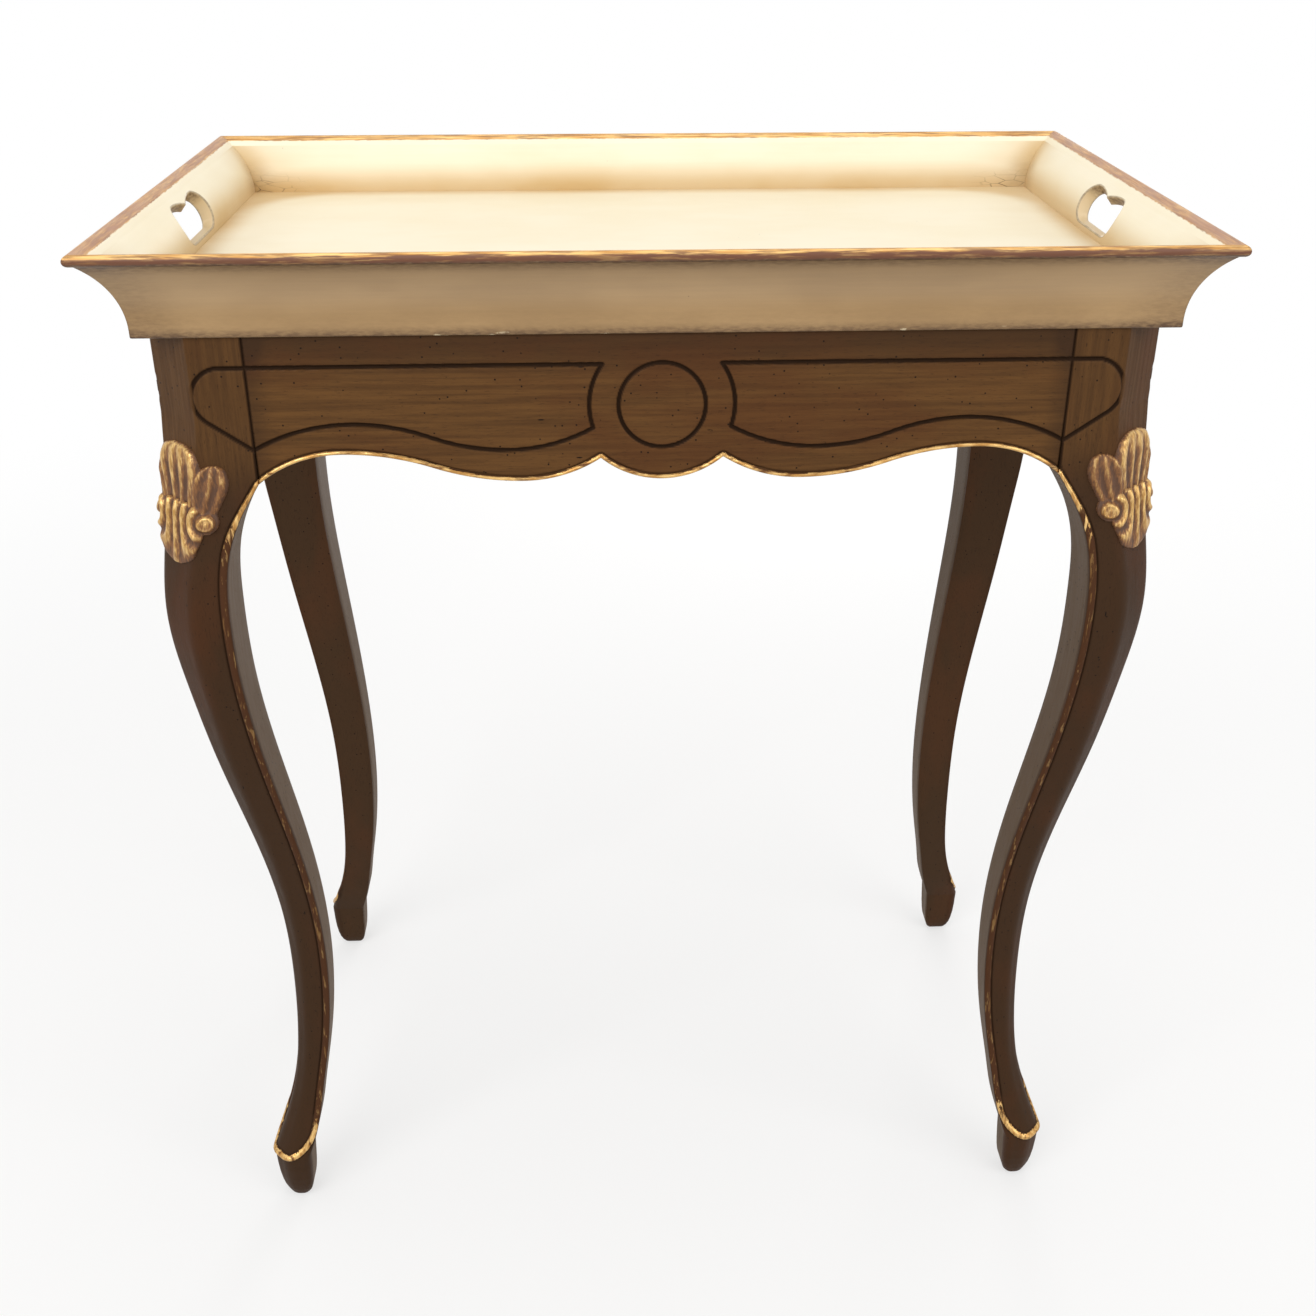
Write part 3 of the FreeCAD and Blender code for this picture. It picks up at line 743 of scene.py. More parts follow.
@dataclass(frozen=True)
class RawWood:
    """Unfinished blocks and cleats: pale matt softwood with straight grain and a few dark rings."""

    grain: GrainAxis
    early: str = "#C6A679"
    late: str = "#8F6A43"
    figure: Pattern = Pattern(120, 2.4, 0.35, 0.68, 4.0)
    pores: Pattern = Pattern(8, 0.4, 0.58, 0.75, 1.0)
    rough: Point = (0.85, 0.7)
    pore_strength: float = 0.4
    pore_depth: float = 0.2

    def material(self) -> Material:
        """Make the finish.

        Returns:
            The material.
        """
        sheet = NodeSheet(bpy.data.materials.new("raw_wood_" + self.grain.name.lower()))
        figure, pores = (pattern.value(sheet, self.grain) for pattern in (self.figure, self.pores))
        return sheet.shaded({
            "Base Color": sheet.mix(figure, self.early, self.late),
            "Roughness": sheet.spread(figure, self.rough),
            "Normal": sheet.bump(pores, self.pore_strength, self.pore_depth, True),
        })


@dataclass(frozen=True)
class ScrewSteel:
    """Dull plated steel: grey metal with brownish tarnish."""

    bright: str = "#9C9A94"
    tarnish: str = "#6A5E4E"
    cloud: Pattern = Pattern(3, 3, 0.35, 0.7, 4.0)
    rough: Point = (0.35, 0.6)

    def material(self) -> Material:
        """Make the finish.

        Returns:
            The material.
        """
        sheet = NodeSheet(bpy.data.materials.new("screw_steel"))
        cloud = self.cloud.value(sheet, GrainAxis.ALONG_X)
        return sheet.shaded({
            "Base Color": sheet.mix(cloud, self.bright, self.tarnish),
            "Metallic": 1.0,
            "Roughness": sheet.spread(cloud, self.rough),
        })


@dataclass(frozen=True)
class StudioFloor:
    """Plain pale floor: it keeps the soft shadow and runs out to white far from the table."""

    pale: str = "#F1F0EE"
    bounce: str = "#BDB9B2"
    veil: float = 0.6
    clear_from: float = 450.0
    clear_at: float = 1900.0
    rough: float = 0.9

    def material(self) -> Material:
        """Make the finish.

        Returns:
            The material.
        """
        sheet = NodeSheet(bpy.data.materials.new("studio_floor"))
        seen = sheet.background_rays()
        place = sheet.add("ShaderNodeTexCoord", {}, out=3)
        away = sheet.add("ShaderNodeVectorMath", {0: place}, out=1, operation="LENGTH")
        settings = {0: away, 1: self.clear_from * MM, 2: self.clear_at * MM, 3: self.veil}
        clear = sheet.add("ShaderNodeMapRange", settings, interpolation_type="SMOOTHSTEP")
        color = sheet.mix(seen, self.bounce, self.pale)
        shader = sheet.add("ShaderNodeBsdfPrincipled", {"Base Color": color, "Roughness": self.rough})
        white = sheet.add("ShaderNodeEmission", {"Strength": 1.0})
        gone = sheet.times(clear, seen)
        return sheet.close(sheet.add("ShaderNodeMixShader", {0: gone, 1: shader, 2: white}))


@dataclass(frozen=True)
class Lamp:
    """Square soft lamp: name, place and aim in millimetres, side of its panel, and watts."""

    name: str
    place: Place
    aim: Place
    size: float
    power: float

    def build(self) -> None:
        """Hang the lamp."""
        lamp = bpy.data.lights.new(self.name, "AREA")
        lamp.energy = self.power
        lamp.size = self.size * MM
        holder = bpy.data.objects.new(self.name, lamp)
        holder.location = Vector(self.place) * MM
        holder.rotation_euler = (Vector(self.aim) - Vector(self.place)).to_track_quat("-Z", "Y").to_euler()
        bpy.context.scene.collection.objects.link(holder)


@dataclass
class Studio:
    """Floor, light and camera."""

    eye: Place = (-36.4, -1011.4, 898.0)
    pitch: float = 0.48209
    yaw: float = -0.04039
    roll: float = 0.00046
    lens: float = 42.086
    sensor: float = 36.0
    floor_half: float = 6000.0
    sky: float = 0.5
    lamps: tuple[Lamp, ...] = (
        Lamp("key", (-1200, -1600, 1800), (0, 0, 500), 1500, 25.5),
        Lamp("fill", (1500, -1400, 1500), (0, 0, 500), 1600, 16.5),
        Lamp("top", (100, 300, 2400), (0, 0, 600), 1800, 12),
        Lamp("rear", (500, 2200, 500), (0, 0, 400), 900, 20),
    )

    def build(self) -> None:
        """Set up the floor, the world, the lamps and the camera."""
        self.lay_floor()
        self.light_world()
        for lamp in self.lamps:
            lamp.build()
        self.place_camera()
        bpy.context.scene.view_settings.view_transform = "Standard"

    def lay_floor(self) -> None:
        """Lay a plain square floor under the table."""
        half = self.floor_half * MM
        corners = [(-half, -half, 0), (half, -half, 0), (half, half, 0), (-half, half, 0)]
        mesh = bpy.data.meshes.new("floor")
        mesh.from_pydata(corners, [], [(0, 1, 2, 3)])
        mesh.materials.append(StudioFloor().material())
        floor = bpy.data.objects.new("floor", mesh)
        bpy.context.scene.collection.objects.link(floor)

    def light_world(self) -> None:
        """Give the world an even pale light, plain white where it is seen."""
        world = bpy.data.worlds.new("studio")
        bpy.context.scene.world = world
        sheet = NodeSheet(world)
        strength = sheet.spread(sheet.background_rays(), (self.sky, 1.0))
        shade = sheet.add("ShaderNodeBackground", {"Color": linear("#FFFFFF"), "Strength": strength})
        sheet.add("ShaderNodeOutputWorld", {"Surface": shade})

    def place_camera(self) -> None:
        """Stand the camera where the photograph was taken from."""
        base = Matrix(((1, 0, 0), (0, 0, -1), (0, 1, 0)))
        turn = Matrix.Rotation(self.roll, 3, "Z") @ Matrix.Rotation(self.pitch, 3, "X")
        view = turn @ Matrix.Rotation(self.yaw, 3, "Y") @ base
        data = bpy.data.cameras.new("camera")
        data.lens = self.lens
        data.sensor_width = self.sensor
        camera = bpy.data.objects.new("camera", data)
        axes = Matrix((view[0], -view[1], -view[2])).transposed()
        camera.matrix_world = Matrix.Translation(Vector(self.eye) * MM) @ axes.to_4x4()
        bpy.context.scene.collection.objects.link(camera)
        bpy.context.scene.camera = camera


@dataclass(frozen=True)
class LegShape:
    """Outline of one cabriole leg: insets from the stand's outer corner at each height."""

    post: float = 57.0
    cant: float = 26.0
    top: float = 661.5
    knee_top: float = 611.0
    bracket: float = 574.5
    heights: Row = (43, 66, 90, 130, 179, 240, 309, 379, 439, 492, 550, 574.5)
    outers: Row = (3, 12.3, 19.7, 25.8, 28.3, 26.9, 17.3, 3.7, -6, -11.1, -5.1, -2.1)
    inners: Row = (31, 37.9, 42.4, 49.4, 54.5, 54.7, 48.5, 39.1, 33.2, 32.3, 42.5, 57)
    cants: Row = (11, 9.2, 8.3, 8.1, 8.3, 9.1, 10.9, 13.5, 16.9, 20.8, 24.7, 25.2)
    shoe_heights: Row = (0, 0.8, 2.4, 5, 9, 14, 21, 30, 38, 41, 43)
    shoe_outers: Row = (12.5, 10.4, 8.9, 7.6, 6.1, 4.9, 3.8, 3.1, 2.9, 2.9, 3)
    shoe_inners: Row = (20.5, 23.6, 25.6, 27.2, 28.5, 29.3, 29.9, 30.4, 30.8, 30.9, 31)
    shoe_cants: Row = (4.5, 5.4, 6.4, 7.4, 8.4, 9.4, 10.3, 11, 11, 11, 11)

    def along(self, height: Array, values: Row, shoe: Row, post: float) -> Array:
        """Value of one measure at each height.

        Args:
            height: Heights above the floor.
            values: Measures of the curved leg.
            shoe: Measures of the shoe below it.
            post: Measure of the square post.

        Returns:
            One measure per height.
        """
        curved = SmoothCurve(self.heights, values)(np.clip(height, self.heights[0], self.bracket))
        above = np.interp(height, [self.bracket, self.knee_top], [values[-1], post])
        below = np.interp(height, self.shoe_heights, shoe)
        return np.where(height > self.bracket, above, np.where(height < self.heights[0], below, curved))

    def outer(self, height: Array) -> Array:
        """Inset of the two outer faces."""
        return self.along(height, self.outers, self.shoe_outers, 0.0)

    def inner(self, height: Array) -> Array:
        """Inset of the two inner faces."""
        return self.along(height, self.inners, self.shoe_inners, self.post)

    def chamfer(self, height: Array) -> Array:
        """Width of the canted corner along each face."""
        return self.along(height, self.cants, self.shoe_cants, self.cant)


@dataclass
class Relief:
    """Carving at points of a face: how far it stands out, and its painted masks."""

    lift: Array
    gilt: Array
    bead: Array
    line: Array


@dataclass(frozen=True)
class Groove:
    """Scribed line: width, depth, and the shares of the width where its colour starts and is full."""

    width: float
    depth: float
    fade: Point
    roundness: float = 0.7

    def cut(self, gap: Array) -> Array:
        """Depth at each distance from the line."""
        return self.depth * np.clip(1 - (gap / self.width * 2) ** 2, 0, 1) ** self.roundness

    def tint(self, gap: Array) -> Array:
        """Share of the line's colour at each distance from it."""
        return ease(self.width * self.fade[0], self.width * self.fade[1], gap)


BEAD_LEAF = Fade(0.0, 0.5)
BEAD_PAINT = Fade(0.0, 0.3)


@dataclass(frozen=True)
class CarvedFace:
    """One outer face of the stand, from the middle of an apron out over the leg beside it."""

    half_stand: float
    medallion: bool
    leg: LegShape
    top: float = 661.5
    low: float = 574.5
    toe: float = 50.0
    crest_rise: float = 17.5
    cusp_rise: float = 13.5
    lobe_rise: float = 0.4
    cusp_share: float = 0.152
    dip_share: float = 0.345
    crest_share: float = 0.79
    plain_crest_share: float = 0.62
    top_line: float = 643.7
    line: Groove = Groove(2.5, 1.3, (0.62, 0.4))
    seam: Groove = Groove(1.7, 1.04, (0.75, 0.2))
    ring_radius: float = 24.9
    ring_height: float = 619.4
    ring_gap: float = 16.7
    joint_rise: float = 20.9
    panel_crest_rise: float = 35.5
    panel_low_rise: float = 19.1
    panel_end_rise: float = 31.9
    panel_dip_share: float = 0.38
    panel_crest_share: float = 0.76
    plain_panel_share: float = 0.58
    loop_radius: float = 17.6
    loop_inset: float = 25.5
    bead_width: float = 2.6
    bead_growth: Fade = Fade(572, 535, 2.0)
    bead_height: float = 1.2
    quirk_gap: float = 0.5
    quirk_width: float = 0.55
    quirk_depth: float = 0.6
    # Darkness of the quirk beside the bead: painted shade in its narrow groove.
    quirk_painted_shade: float = 0.85
    apron_leaf: float = 0.9
    leg_leaf: float = 0.2
    knee_leaf: Fade = Fade(530, 562, 0.6)

    @property
    def half_apron(self) -> float:
        """Half the length of the apron's face."""
        return self.half_stand - self.leg.post

    def wave(self, dip: Point, crest: Point, joint: Point, cusp: Point | None) -> Array:
        """Wave from a cusp, or from its low point, over its crest to the joint.

        Args:
            dip: Low point.
            crest: High point.
            joint: End of the wave.
            cusp: Start of the wave, where there is one.

        Returns:
            Points from the middle outwards.
        """
        middle = ((dip[0] + crest[0]) / 2, (dip[1] + crest[1]) / 2)
        start = [level_arc(dip, cusp)[::-1]] if cusp else []
        rest = [level_arc(dip, middle), level_arc(crest, middle)[::-1], level_arc(crest, joint)]
        return np.vstack(start + rest)

    def lower_edge(self) -> Array:
        """Half of the apron's scalloped lower edge.

        Returns:
            Points from the middle outwards.
        """
        half, low, high = self.half_apron, self.low, self.low + self.crest_rise
        lobe, joint = (0, low + self.lobe_rise), (half, low)
        if not self.medallion:
            return self.wave(lobe, (half * self.plain_crest_share, high), joint, None)
        cusp = (half * self.cusp_share, low + self.cusp_rise)
        wave = self.wave((half * self.dip_share, low), (half * self.crest_share, high), joint, cusp)
        return np.vstack([level_arc(lobe, cusp), wave])

    def leg_edge(self) -> Array:
        """Inner edge of the leg's face, from the joint down to the toe."""
        heights = np.linspace(self.low, self.toe, 300)
        return np.column_stack([self.half_stand - self.leg.inner(heights), heights])

    def lines(self) -> list[Array]:
        """Scribed lines of half the face.

        Returns:
            One chain of points per line.
        """
        half, dip, crest = self.half_apron, self.low + self.panel_low_rise, self.low + self.panel_crest_rise
        joint = (half, self.low + self.joint_rise)
        loop_inset = self.loop_inset + self.loop_radius
        center = np.array([self.half_stand - loop_inset, self.top_line - self.loop_radius])
        reach = joint - center
        touch = math.atan2(reach[1], reach[0]) + math.acos(self.loop_radius / np.linalg.norm(reach))
        loop = on_circle(np.linspace(QUARTER, touch, 40), self.loop_radius, center)
        if not self.medallion:
            panel = self.wave((0, dip), (half * self.plain_panel_share, crest), joint, None)
            return [np.vstack([[(0, self.top_line)], loop, panel[::-1]])]
        middle = (0, self.ring_height)
        ring = on_circle(QUARTER - np.linspace(0, math.pi, 60), self.ring_radius, middle)
        radius = self.ring_radius + self.ring_gap
        ends = (self.low + self.panel_end_rise, self.top_line)
        down, high = (math.asin((end - self.ring_height) / radius) for end in ends)
        side = on_circle(np.linspace(down, high, 24), radius, middle)
        start = (radius * math.cos(down), ends[0])
        ends = (half * self.panel_dip_share, dip), (half * self.panel_crest_share, crest)
        panel = self.wave(*ends, joint, start)
        return [ring, np.vstack([side, loop, panel[::-1]])]

    def relief(self, across: Array, up: Array) -> Relief:
        """Carving at points of the face.

        Args:
            across: Distance from the middle line.
            up: Height above the floor.

        Returns:
            Lift and masks, one value per point.
        """
        points = np.column_stack([np.abs(across), up])
        line = np.min([distance_to(path, points) for path in self.lines()], axis=0)
        seam = np.where(up > self.low - 1, np.abs(points[:, 0] - self.half_apron), FAR)
        edge = distance_to(np.vstack([self.lower_edge(), self.leg_edge()]), points)
        on_leg = points[:, 0] > self.half_apron
        width = self.bead_width + on_leg * self.bead_growth.at(up)
        bead = half_round(edge / width * 2 - 1) * (edge < width)
        quirk = np.exp(-((edge - width - self.quirk_gap) / self.quirk_width) ** 2)
        cut = np.maximum(self.line.cut(line), self.seam.cut(seam))
        tint = np.maximum(self.line.tint(line), self.seam.tint(seam))
        leaf = np.where(on_leg, self.leg_leaf + self.knee_leaf.at(up), self.apron_leaf)
        # The quirk beside the bead is darkened in the line mask: painted shade.
        return Relief(self.bead_height * bead - self.quirk_depth * quirk - cut, BEAD_LEAF.at(bead) * leaf,
                      BEAD_PAINT.at(bead), np.maximum(tint, self.quirk_painted_shade * quirk))


@dataclass
class Aprons:
    """Four shaped rails with a scalloped edge, a gilt bead and scribed lines."""

    long_face: CarvedFace
    short_face: CarvedFace
    thickness: float = 20.0
    step: float = 0.7
    end_gap: float = 0.05
    low_ease: float = 0.4
    top_ease: float = 0.3
    bead_depth: float = 1.6
    bead_leaf: float = 0.4
    end_shade: Fade = Fade(16, 0, 0.6)
    top_shade: Fade = Fade(30, 4, 0.8)

    def board(self, face: CarvedFace) -> Sculpt:
        """Shape one rail in the front position.

        Args:
            face: Carving of its outer face.

        Returns:
            The rail, with its outer face at zero depth.
        """
        shape = int(2 * face.half_apron / self.step), int((face.top - face.low) / self.step)
        end = face.half_apron - self.end_gap
        across = np.linspace(-end, end, shape[0])[:, None]
        edge = face.lower_edge()
        low = np.interp(np.abs(across), edge[:, 0], edge[:, 1])
        height = low + (face.top - low) * np.linspace(0, 1, shape[1])
        wide = np.broadcast_to(across, shape)
        relief = face.relief(wide.ravel(), height.ravel())
        depth = -relief.lift.reshape(shape)
        depth[:, 0] = self.low_ease
        depth[:, -1] = self.top_ease
        back = np.array([[self.thickness, self.thickness, self.bead_depth]])
        points = np.stack([
            np.hstack([wide, across, across, across]),
            np.hstack([depth, np.repeat(back, shape[0], axis=0)]),
            np.hstack([height, 0 * low + face.top, low, low]),
        ], axis=-1)
        # Painted shade: a painted shadow along the top under the tray, and painted shade towards the ends
        # where the rail meets the legs.
        painted_shade = self.end_shade.at(face.half_apron - np.abs(wide)) + self.top_shade.at(face.top - height)
        sides = {"gilt": (relief.gilt, (0, 0, self.bead_leaf)), "bead": (relief.bead, (0, 0, 1)),
                 "line": (relief.line, (0, 0, 0)), "inside": (0 * relief.line, (1, 1, 0)),
                 "painted_shade": (np.clip(painted_shade, 0, 1), (0, 0, 0))}
        masks = {name: np.hstack([front.reshape(shape), np.tile(rest, (shape[0], 1))]).ravel()
                 for name, (front, rest) in sides.items()}
        rows = points.shape[:2]
        return Sculpt(points.reshape(-1, 3), ring_quads(*rows), end_caps(*rows), masks).tidied()

    def build(self, along_x: Material, along_y: Material) -> None:
        """Make the four rails.

        Args:
            along_x: Finish of the front and back rails.
            along_y: Finish of the side rails.
        """
        for quarters, name in enumerate(SIDES):
            faces = (self.long_face, self.short_face)
            face, other = faces if quarters % 2 == 0 else faces[::-1]
            board = self.board(face)
            board.points[:, 1] -= other.half_stand
            finish = along_x if quarters % 2 == 0 else along_y
            board.turned(quarters).stand(name + "_rail", finish, "base", "stained_walnut", name + "_apron")


@dataclass
class CabrioleLegs:
    """Four legs with canted corners, gilt arris beads and slipper toes."""

    shape: LegShape
    long_face: CarvedFace
    short_face: CarvedFace
    bands: tuple[Place, ...] = ((0, 3, 0.6), (3, 78, 1.0), (78, 522, 2.6), (522, 661.4, 0.85))
    soft_heights: Row = (0, 20, 50, 80, 300, 520, 600, 661)
    softs: Row = (3.4, 5.0, 5.0, 3.4, 4.0, 5.0, 1.2, 0.9)
    arris_heights: Row = (0, 36, 44, 52, 60, 67)
    arrises: Row = (4.5, 6.0, 5.0, 3.0, 1.2, 0)
    bead_steps: Row = (0, 0.35, 0.8, 1.3, 1.9, 2.5, 3.1, 3.7, 4.2, 4.7, 5.2, 5.7, 6.3, 7.0, 7.8)
    bead_share: float = 0.7
    face_steps: int = 32
    round_steps: int = 6
    cant_steps: int = 7
    inner_steps: int = 8
    inner_ease: float = 0.7
    lip_low: float = 43.0
    lip_side: float = 2.3
    lip_run: float = 22.0
    lip_rise: float = 24.5
    lip_width: float = 4.4
    lip_height: float = 1.7
    lip_top: float = 95.0
    lip_end: float = 60.0
    lip_wear: Fade = Fade(52, 72, 0.55)
    quirk_share: float = 0.62
    quirk_width: float = 0.6
    # Darkness of the quirk beside the toe's lip: painted shade.
    quirk_painted_shade: float = 0.75
    toe: Fade = Fade(76, 68)
    post_shade: float = 0.35
    leg_shade: Fade = Fade(600, 560, 0.65)
    inner_bare: float = 0.15

    def levels(self) -> Array:
        """Heights of the rings, closer where the carving is finer."""
        return np.concatenate([np.arange(*band) for band in self.bands] + [[self.shape.top]])

    def arris(self, height: Array) -> Array:
        """Rounding of the inner arris, which only the shoe has."""
        return np.interp(height, self.arris_heights, self.arrises)[:, None]

    def half_ring(self, height: Array) -> tuple[Array, Array, Array]:
        """Outer half of each ring, from the inner arris of the front face to the diagonal.

        Args:
            height: Heights of the rings.

        Returns:
            Insets across and deep, and the distance from the arris, one row per ring.
        """
        measures = (self.shape.outer, self.shape.inner, self.shape.chamfer)
        outer, inner, cant = (measure(height)[:, None] for measure in measures)
        width = inner - outer - cant
        round_off = np.minimum(np.interp(height, self.soft_heights, self.softs)[:, None], width / 2)
        face = width - round_off
        near = np.array([self.bead_steps])
        near = near * np.minimum(1, self.bead_share * face / near[0, -1])
        last = near[:, -1:]
        flat = np.hstack([near, last + (face - last) * np.linspace(0, 1, self.face_steps + 1)[1:]])
        fillet = self.arris(height)
        deep = outer + fillet - np.sqrt(np.maximum(fillet ** 2 - np.maximum(fillet - flat, 0) ** 2, 0))
        turn = np.linspace(0, 1, self.round_steps + 1)[1:]
        share = np.linspace(0, 1, self.cant_steps + 1)[1:]
        slope = round_off / math.sqrt(2)
        corner, middle = outer + cant, outer + cant / 2
        end_across, end_deep = corner - slope, outer + slope
        across = np.hstack([inner - flat, bent(corner + round_off, corner, end_across, turn),
                            end_across + (middle - end_across) * share])
        deep = np.hstack([deep, bent(outer, outer, end_deep, turn), end_deep + (middle - end_deep) * share])
        steps = np.hypot(np.diff(across, axis=1), np.diff(deep, axis=1))
        return across, deep, np.hstack([np.zeros((len(height), 1)), np.cumsum(steps, axis=1)])

    def lip(self, height: Array, travel: Array) -> Array:
        """Distance from the gilt lip that sweeps over the toe.

        Args:
            height: Heights of the rings.
            travel: Distance of each point from the inner arris.

        Returns:
            One distance per point.
        """
        turns = np.linspace(0, QUARTER, 30)
        sweep = np.column_stack([self.lip_run - (self.lip_run - self.lip_side) * np.cos(turns),
                                 self.lip_low + self.lip_rise * (1 - np.sin(turns))])
        path = np.vstack([[(self.lip_side, self.lip_top)], sweep, [(self.lip_end, self.lip_low)]])
        low = height < self.lip_top
        up = np.repeat(height[low], travel.shape[1])
        gap = np.full(travel.shape, FAR)
        gap[low] = distance_to(path, np.column_stack([travel[low].ravel(), up])).reshape(-1, travel.shape[1])
        return gap

    def carve(self, face: CarvedFace, height: Array) -> dict[str, Array]:
        """Carve one outer half of the leg.

        Args:
            face: Carving of the stand's face that this half lies in.
            height: Heights of the rings.

        Returns:
            Insets and masks by name, one row per ring.
        """
        across, deep, travel = self.half_ring(height)
        up = np.repeat(height[:, None], across.shape[1], axis=1)
        relief = face.relief((face.half_stand - across).ravel(), up.ravel())
        count = self.round_steps + self.cant_steps
        past = np.linspace(0, 1, count + 1)[1:]
        fade, lean = np.ones(across.shape[1]), np.zeros(across.shape[1])
        fade[-count:] = (1 - past) ** 3
        lean[-count:] = np.minimum(past * 2, 1) * EIGHTH
        toe = self.toe.at(up)
        lift, gilt, bead, line = (values.reshape(across.shape) * fade * (1 - toe) for values in
                                  (relief.lift, relief.gilt, relief.bead, relief.line))
        lip = self.lip(height, travel)
        welt = half_round(lip / self.lip_width * 2) * toe
        lift += self.lip_height * welt
        bead = np.maximum(bead, BEAD_PAINT.at(welt))
        gilt = np.maximum(gilt, BEAD_LEAF.at(welt) * (1 - self.lip_wear.at(up)))
        quirk = np.exp(-((lip - self.lip_width * self.quirk_share) / self.quirk_width) ** 2)
        # Painted shade in the quirk beside the lip.
        line = np.maximum(line, self.quirk_painted_shade * quirk * toe)
        # Painted shade, as on the rails: a little on the post and full from the knee down.
        return {"across": across - np.sin(lean) * lift, "deep": deep - np.cos(lean) * lift, "gilt": gilt,
                "bead": bead, "line": line, "painted_shade": self.post_shade + self.leg_shade.at(up)}

    def block(self) -> Sculpt:
        """Shape the front left leg.

        Returns:
            The leg with its masks.
        """
        height = self.levels()
        front, side = (self.carve(face, height) for face in (self.long_face, self.short_face))
        inner, outer = self.shape.inner(height)[:, None], self.shape.outer(height)[:, None]
        share = np.linspace(0, 1, self.inner_steps + 1)[1:-1]
        edge = outer + self.arris(height)
        there, again = edge + (inner - edge) * share, inner + (edge - inner) * share
        rest = {"across": np.hstack([there, inner - self.inner_ease, inner + 0 * again]),
                "deep": np.hstack([inner + 0 * there, inner - self.inner_ease, again])}
        count = rest["across"].shape[1]
        other = {"across": "deep", "deep": "across"}
        rings = {}
        for name in front:
            # The inner faces get full painted shade.
            inside = rest.get(name, np.full((len(height), count), float(name == "painted_shade")))
            rings[name] = np.hstack([front[name], side[other.get(name, name)][:, -2::-1], inside])
        around = rings["across"].shape[1]
        points = np.stack([rings.pop("across") - self.long_face.half_stand,
                           rings.pop("deep") - self.short_face.half_stand,
                           np.repeat(height[:, None], around, axis=1)], axis=-1).reshape(-1, 3)
        rings["inside"] = np.zeros((len(height), around))
        rings["inside"][:, -count:] = np.where(np.arange(count) > count // 2, 1.0, self.inner_bare)
        masks = {name: ring.ravel() for name, ring in rings.items()}
        rows = len(height), around
        return Sculpt(points, ring_quads(*rows), end_caps(*rows), masks).tidied()

    def build(self, finish: Material) -> None:
        """Make the four legs in one finish."""
        for corner, block in self.block().corners().items():
            block.stand("cabriole_" + corner, finish, "base", "stained_walnut", "leg_" + corner)


@dataclass(frozen=True)
class Lobe:
    """One leaf of a knee shell: a fluted tongue that runs up or down from the waist."""

    middle: float
    start: float
    reach: Row
    halves: Row
    heights: Row
    flutes: int
    lean: float = 0.0
    depth: float = 0.55
    scallop: float = 0.0
    # Gold at the leaf's start and at its tip: partly wear, partly painted light and shade.
    gold_and_light: Point = (1.0, 1.0)
    eye: Point | None = None
    boss: Fade = Fade(4.4, 2.6, 0.7)
    bow: float = 1.5
    closeness: float = 0.75
    plain: Fade = Fade(0.45, 1.0, 0.0)

    def mirrored(self) -> "Lobe":
        """The same leaf on the other side of the diagonal."""
        return replace(self, middle=-self.middle, lean=-self.lean)

    def ridges(self, span: Array, rise: Array, share: Array) -> Array:
        """How much of a ridge between the flutes each point is.

        Args:
            span: Distance round the corner from the diagonal.
            rise: Height above the waist.
            share: Place across the leaf, from -1 to 1.

        Returns:
            Values from 0 in a flute to 1 on a ridge.
        """
        place = (share + 1) / 2 * self.flutes
        boss = 0.0
        if self.eye:
            away = self.eye[0] - np.abs(span)
            bow = 1 - np.clip(away / self.eye[0], 0, 1) ** self.bow
            out = np.hypot(away, (rise - self.eye[1]) * bow)
            place = self.flutes * (out / self.eye[0]) ** self.closeness + 0.5
            boss = self.boss.at(out)
        return np.maximum(0.5 - 0.5 * np.cos(2 * math.pi * place), boss)

    def lift(self, span: Array, rise: Array) -> tuple[Array, Array]:
        """Height of the leaf over the knee, and its gold.

        Args:
            span: Distance round the corner from the diagonal.
            rise: Height above the waist.

        Returns:
            Lift, negative outside the leaf, and gold from 0 to 1.
        """
        along = (rise - self.start) * math.copysign(1, self.reach[-1])
        places = np.abs(self.reach)
        end = places[-1]
        inner = np.clip(along, places[0], end)
        half = np.maximum(SmoothCurve(places, self.halves)(inner), 0.01)
        crown = SmoothCurve(places, self.heights)(inner)
        share = (span - self.middle - self.lean * along) / half
        ridge = 1 - (1 - self.ridges(span, rise, share)) * (1 - self.plain.at(along / end))
        rim = np.clip(1 - np.abs(share) ** 6, 0, 1) ** 0.5
        inside = (np.abs(share) < 1) & (along >= self.scallop * (1 - ridge)) & (along <= end)
        lift = crown * (1 - self.depth + self.depth * ridge) * rim
        # The gold fades along the leaf: partly wear, partly painted light, brighter where the leaf is lit
        # and dimmer where it lies in shade.
        gold = ridge * np.clip(rim * 1.2, 0, 1) * np.interp(along, [0, end], self.gold_and_light)
        return np.where(inside, lift, -1.0), np.where(inside, gold, 0.0)


# Painted light and shade in each leaf's gold: the upper fan brightens towards its top, the lower fan and the
# scrolls dim downwards, the side leaves stay dim.
UPPER_FAN = Lobe(
    middle=0.0, start=-7.0, reach=(0, 10, 19, 26.5, 31.5, 34.8, 36.5),
    halves=(14.5, 16.5, 18.8, 19, 16.5, 11.5, 4), heights=(2.2, 3.4, 4.2, 4.2, 3.6, 2.8, 1.6),
    flutes=4, depth=0.42, gold_and_light=(0.5, 0.95), plain=Fade(0.45, 1.0, 0.65))
SIDE_LEAF = Lobe(
    middle=20.5, start=-9.0, reach=(0, 8, 14, 19.5, 24, 27, 28.5),
    halves=(8.5, 10.4, 11.4, 10.8, 8.8, 5.8, 2.2), heights=(1.8, 3.0, 3.6, 3.6, 3.0, 2.3, 1.4),
    flutes=3, lean=0.2, depth=0.42, gold_and_light=(0.4, 0.52), plain=Fade(0.45, 1.0, 0.3))
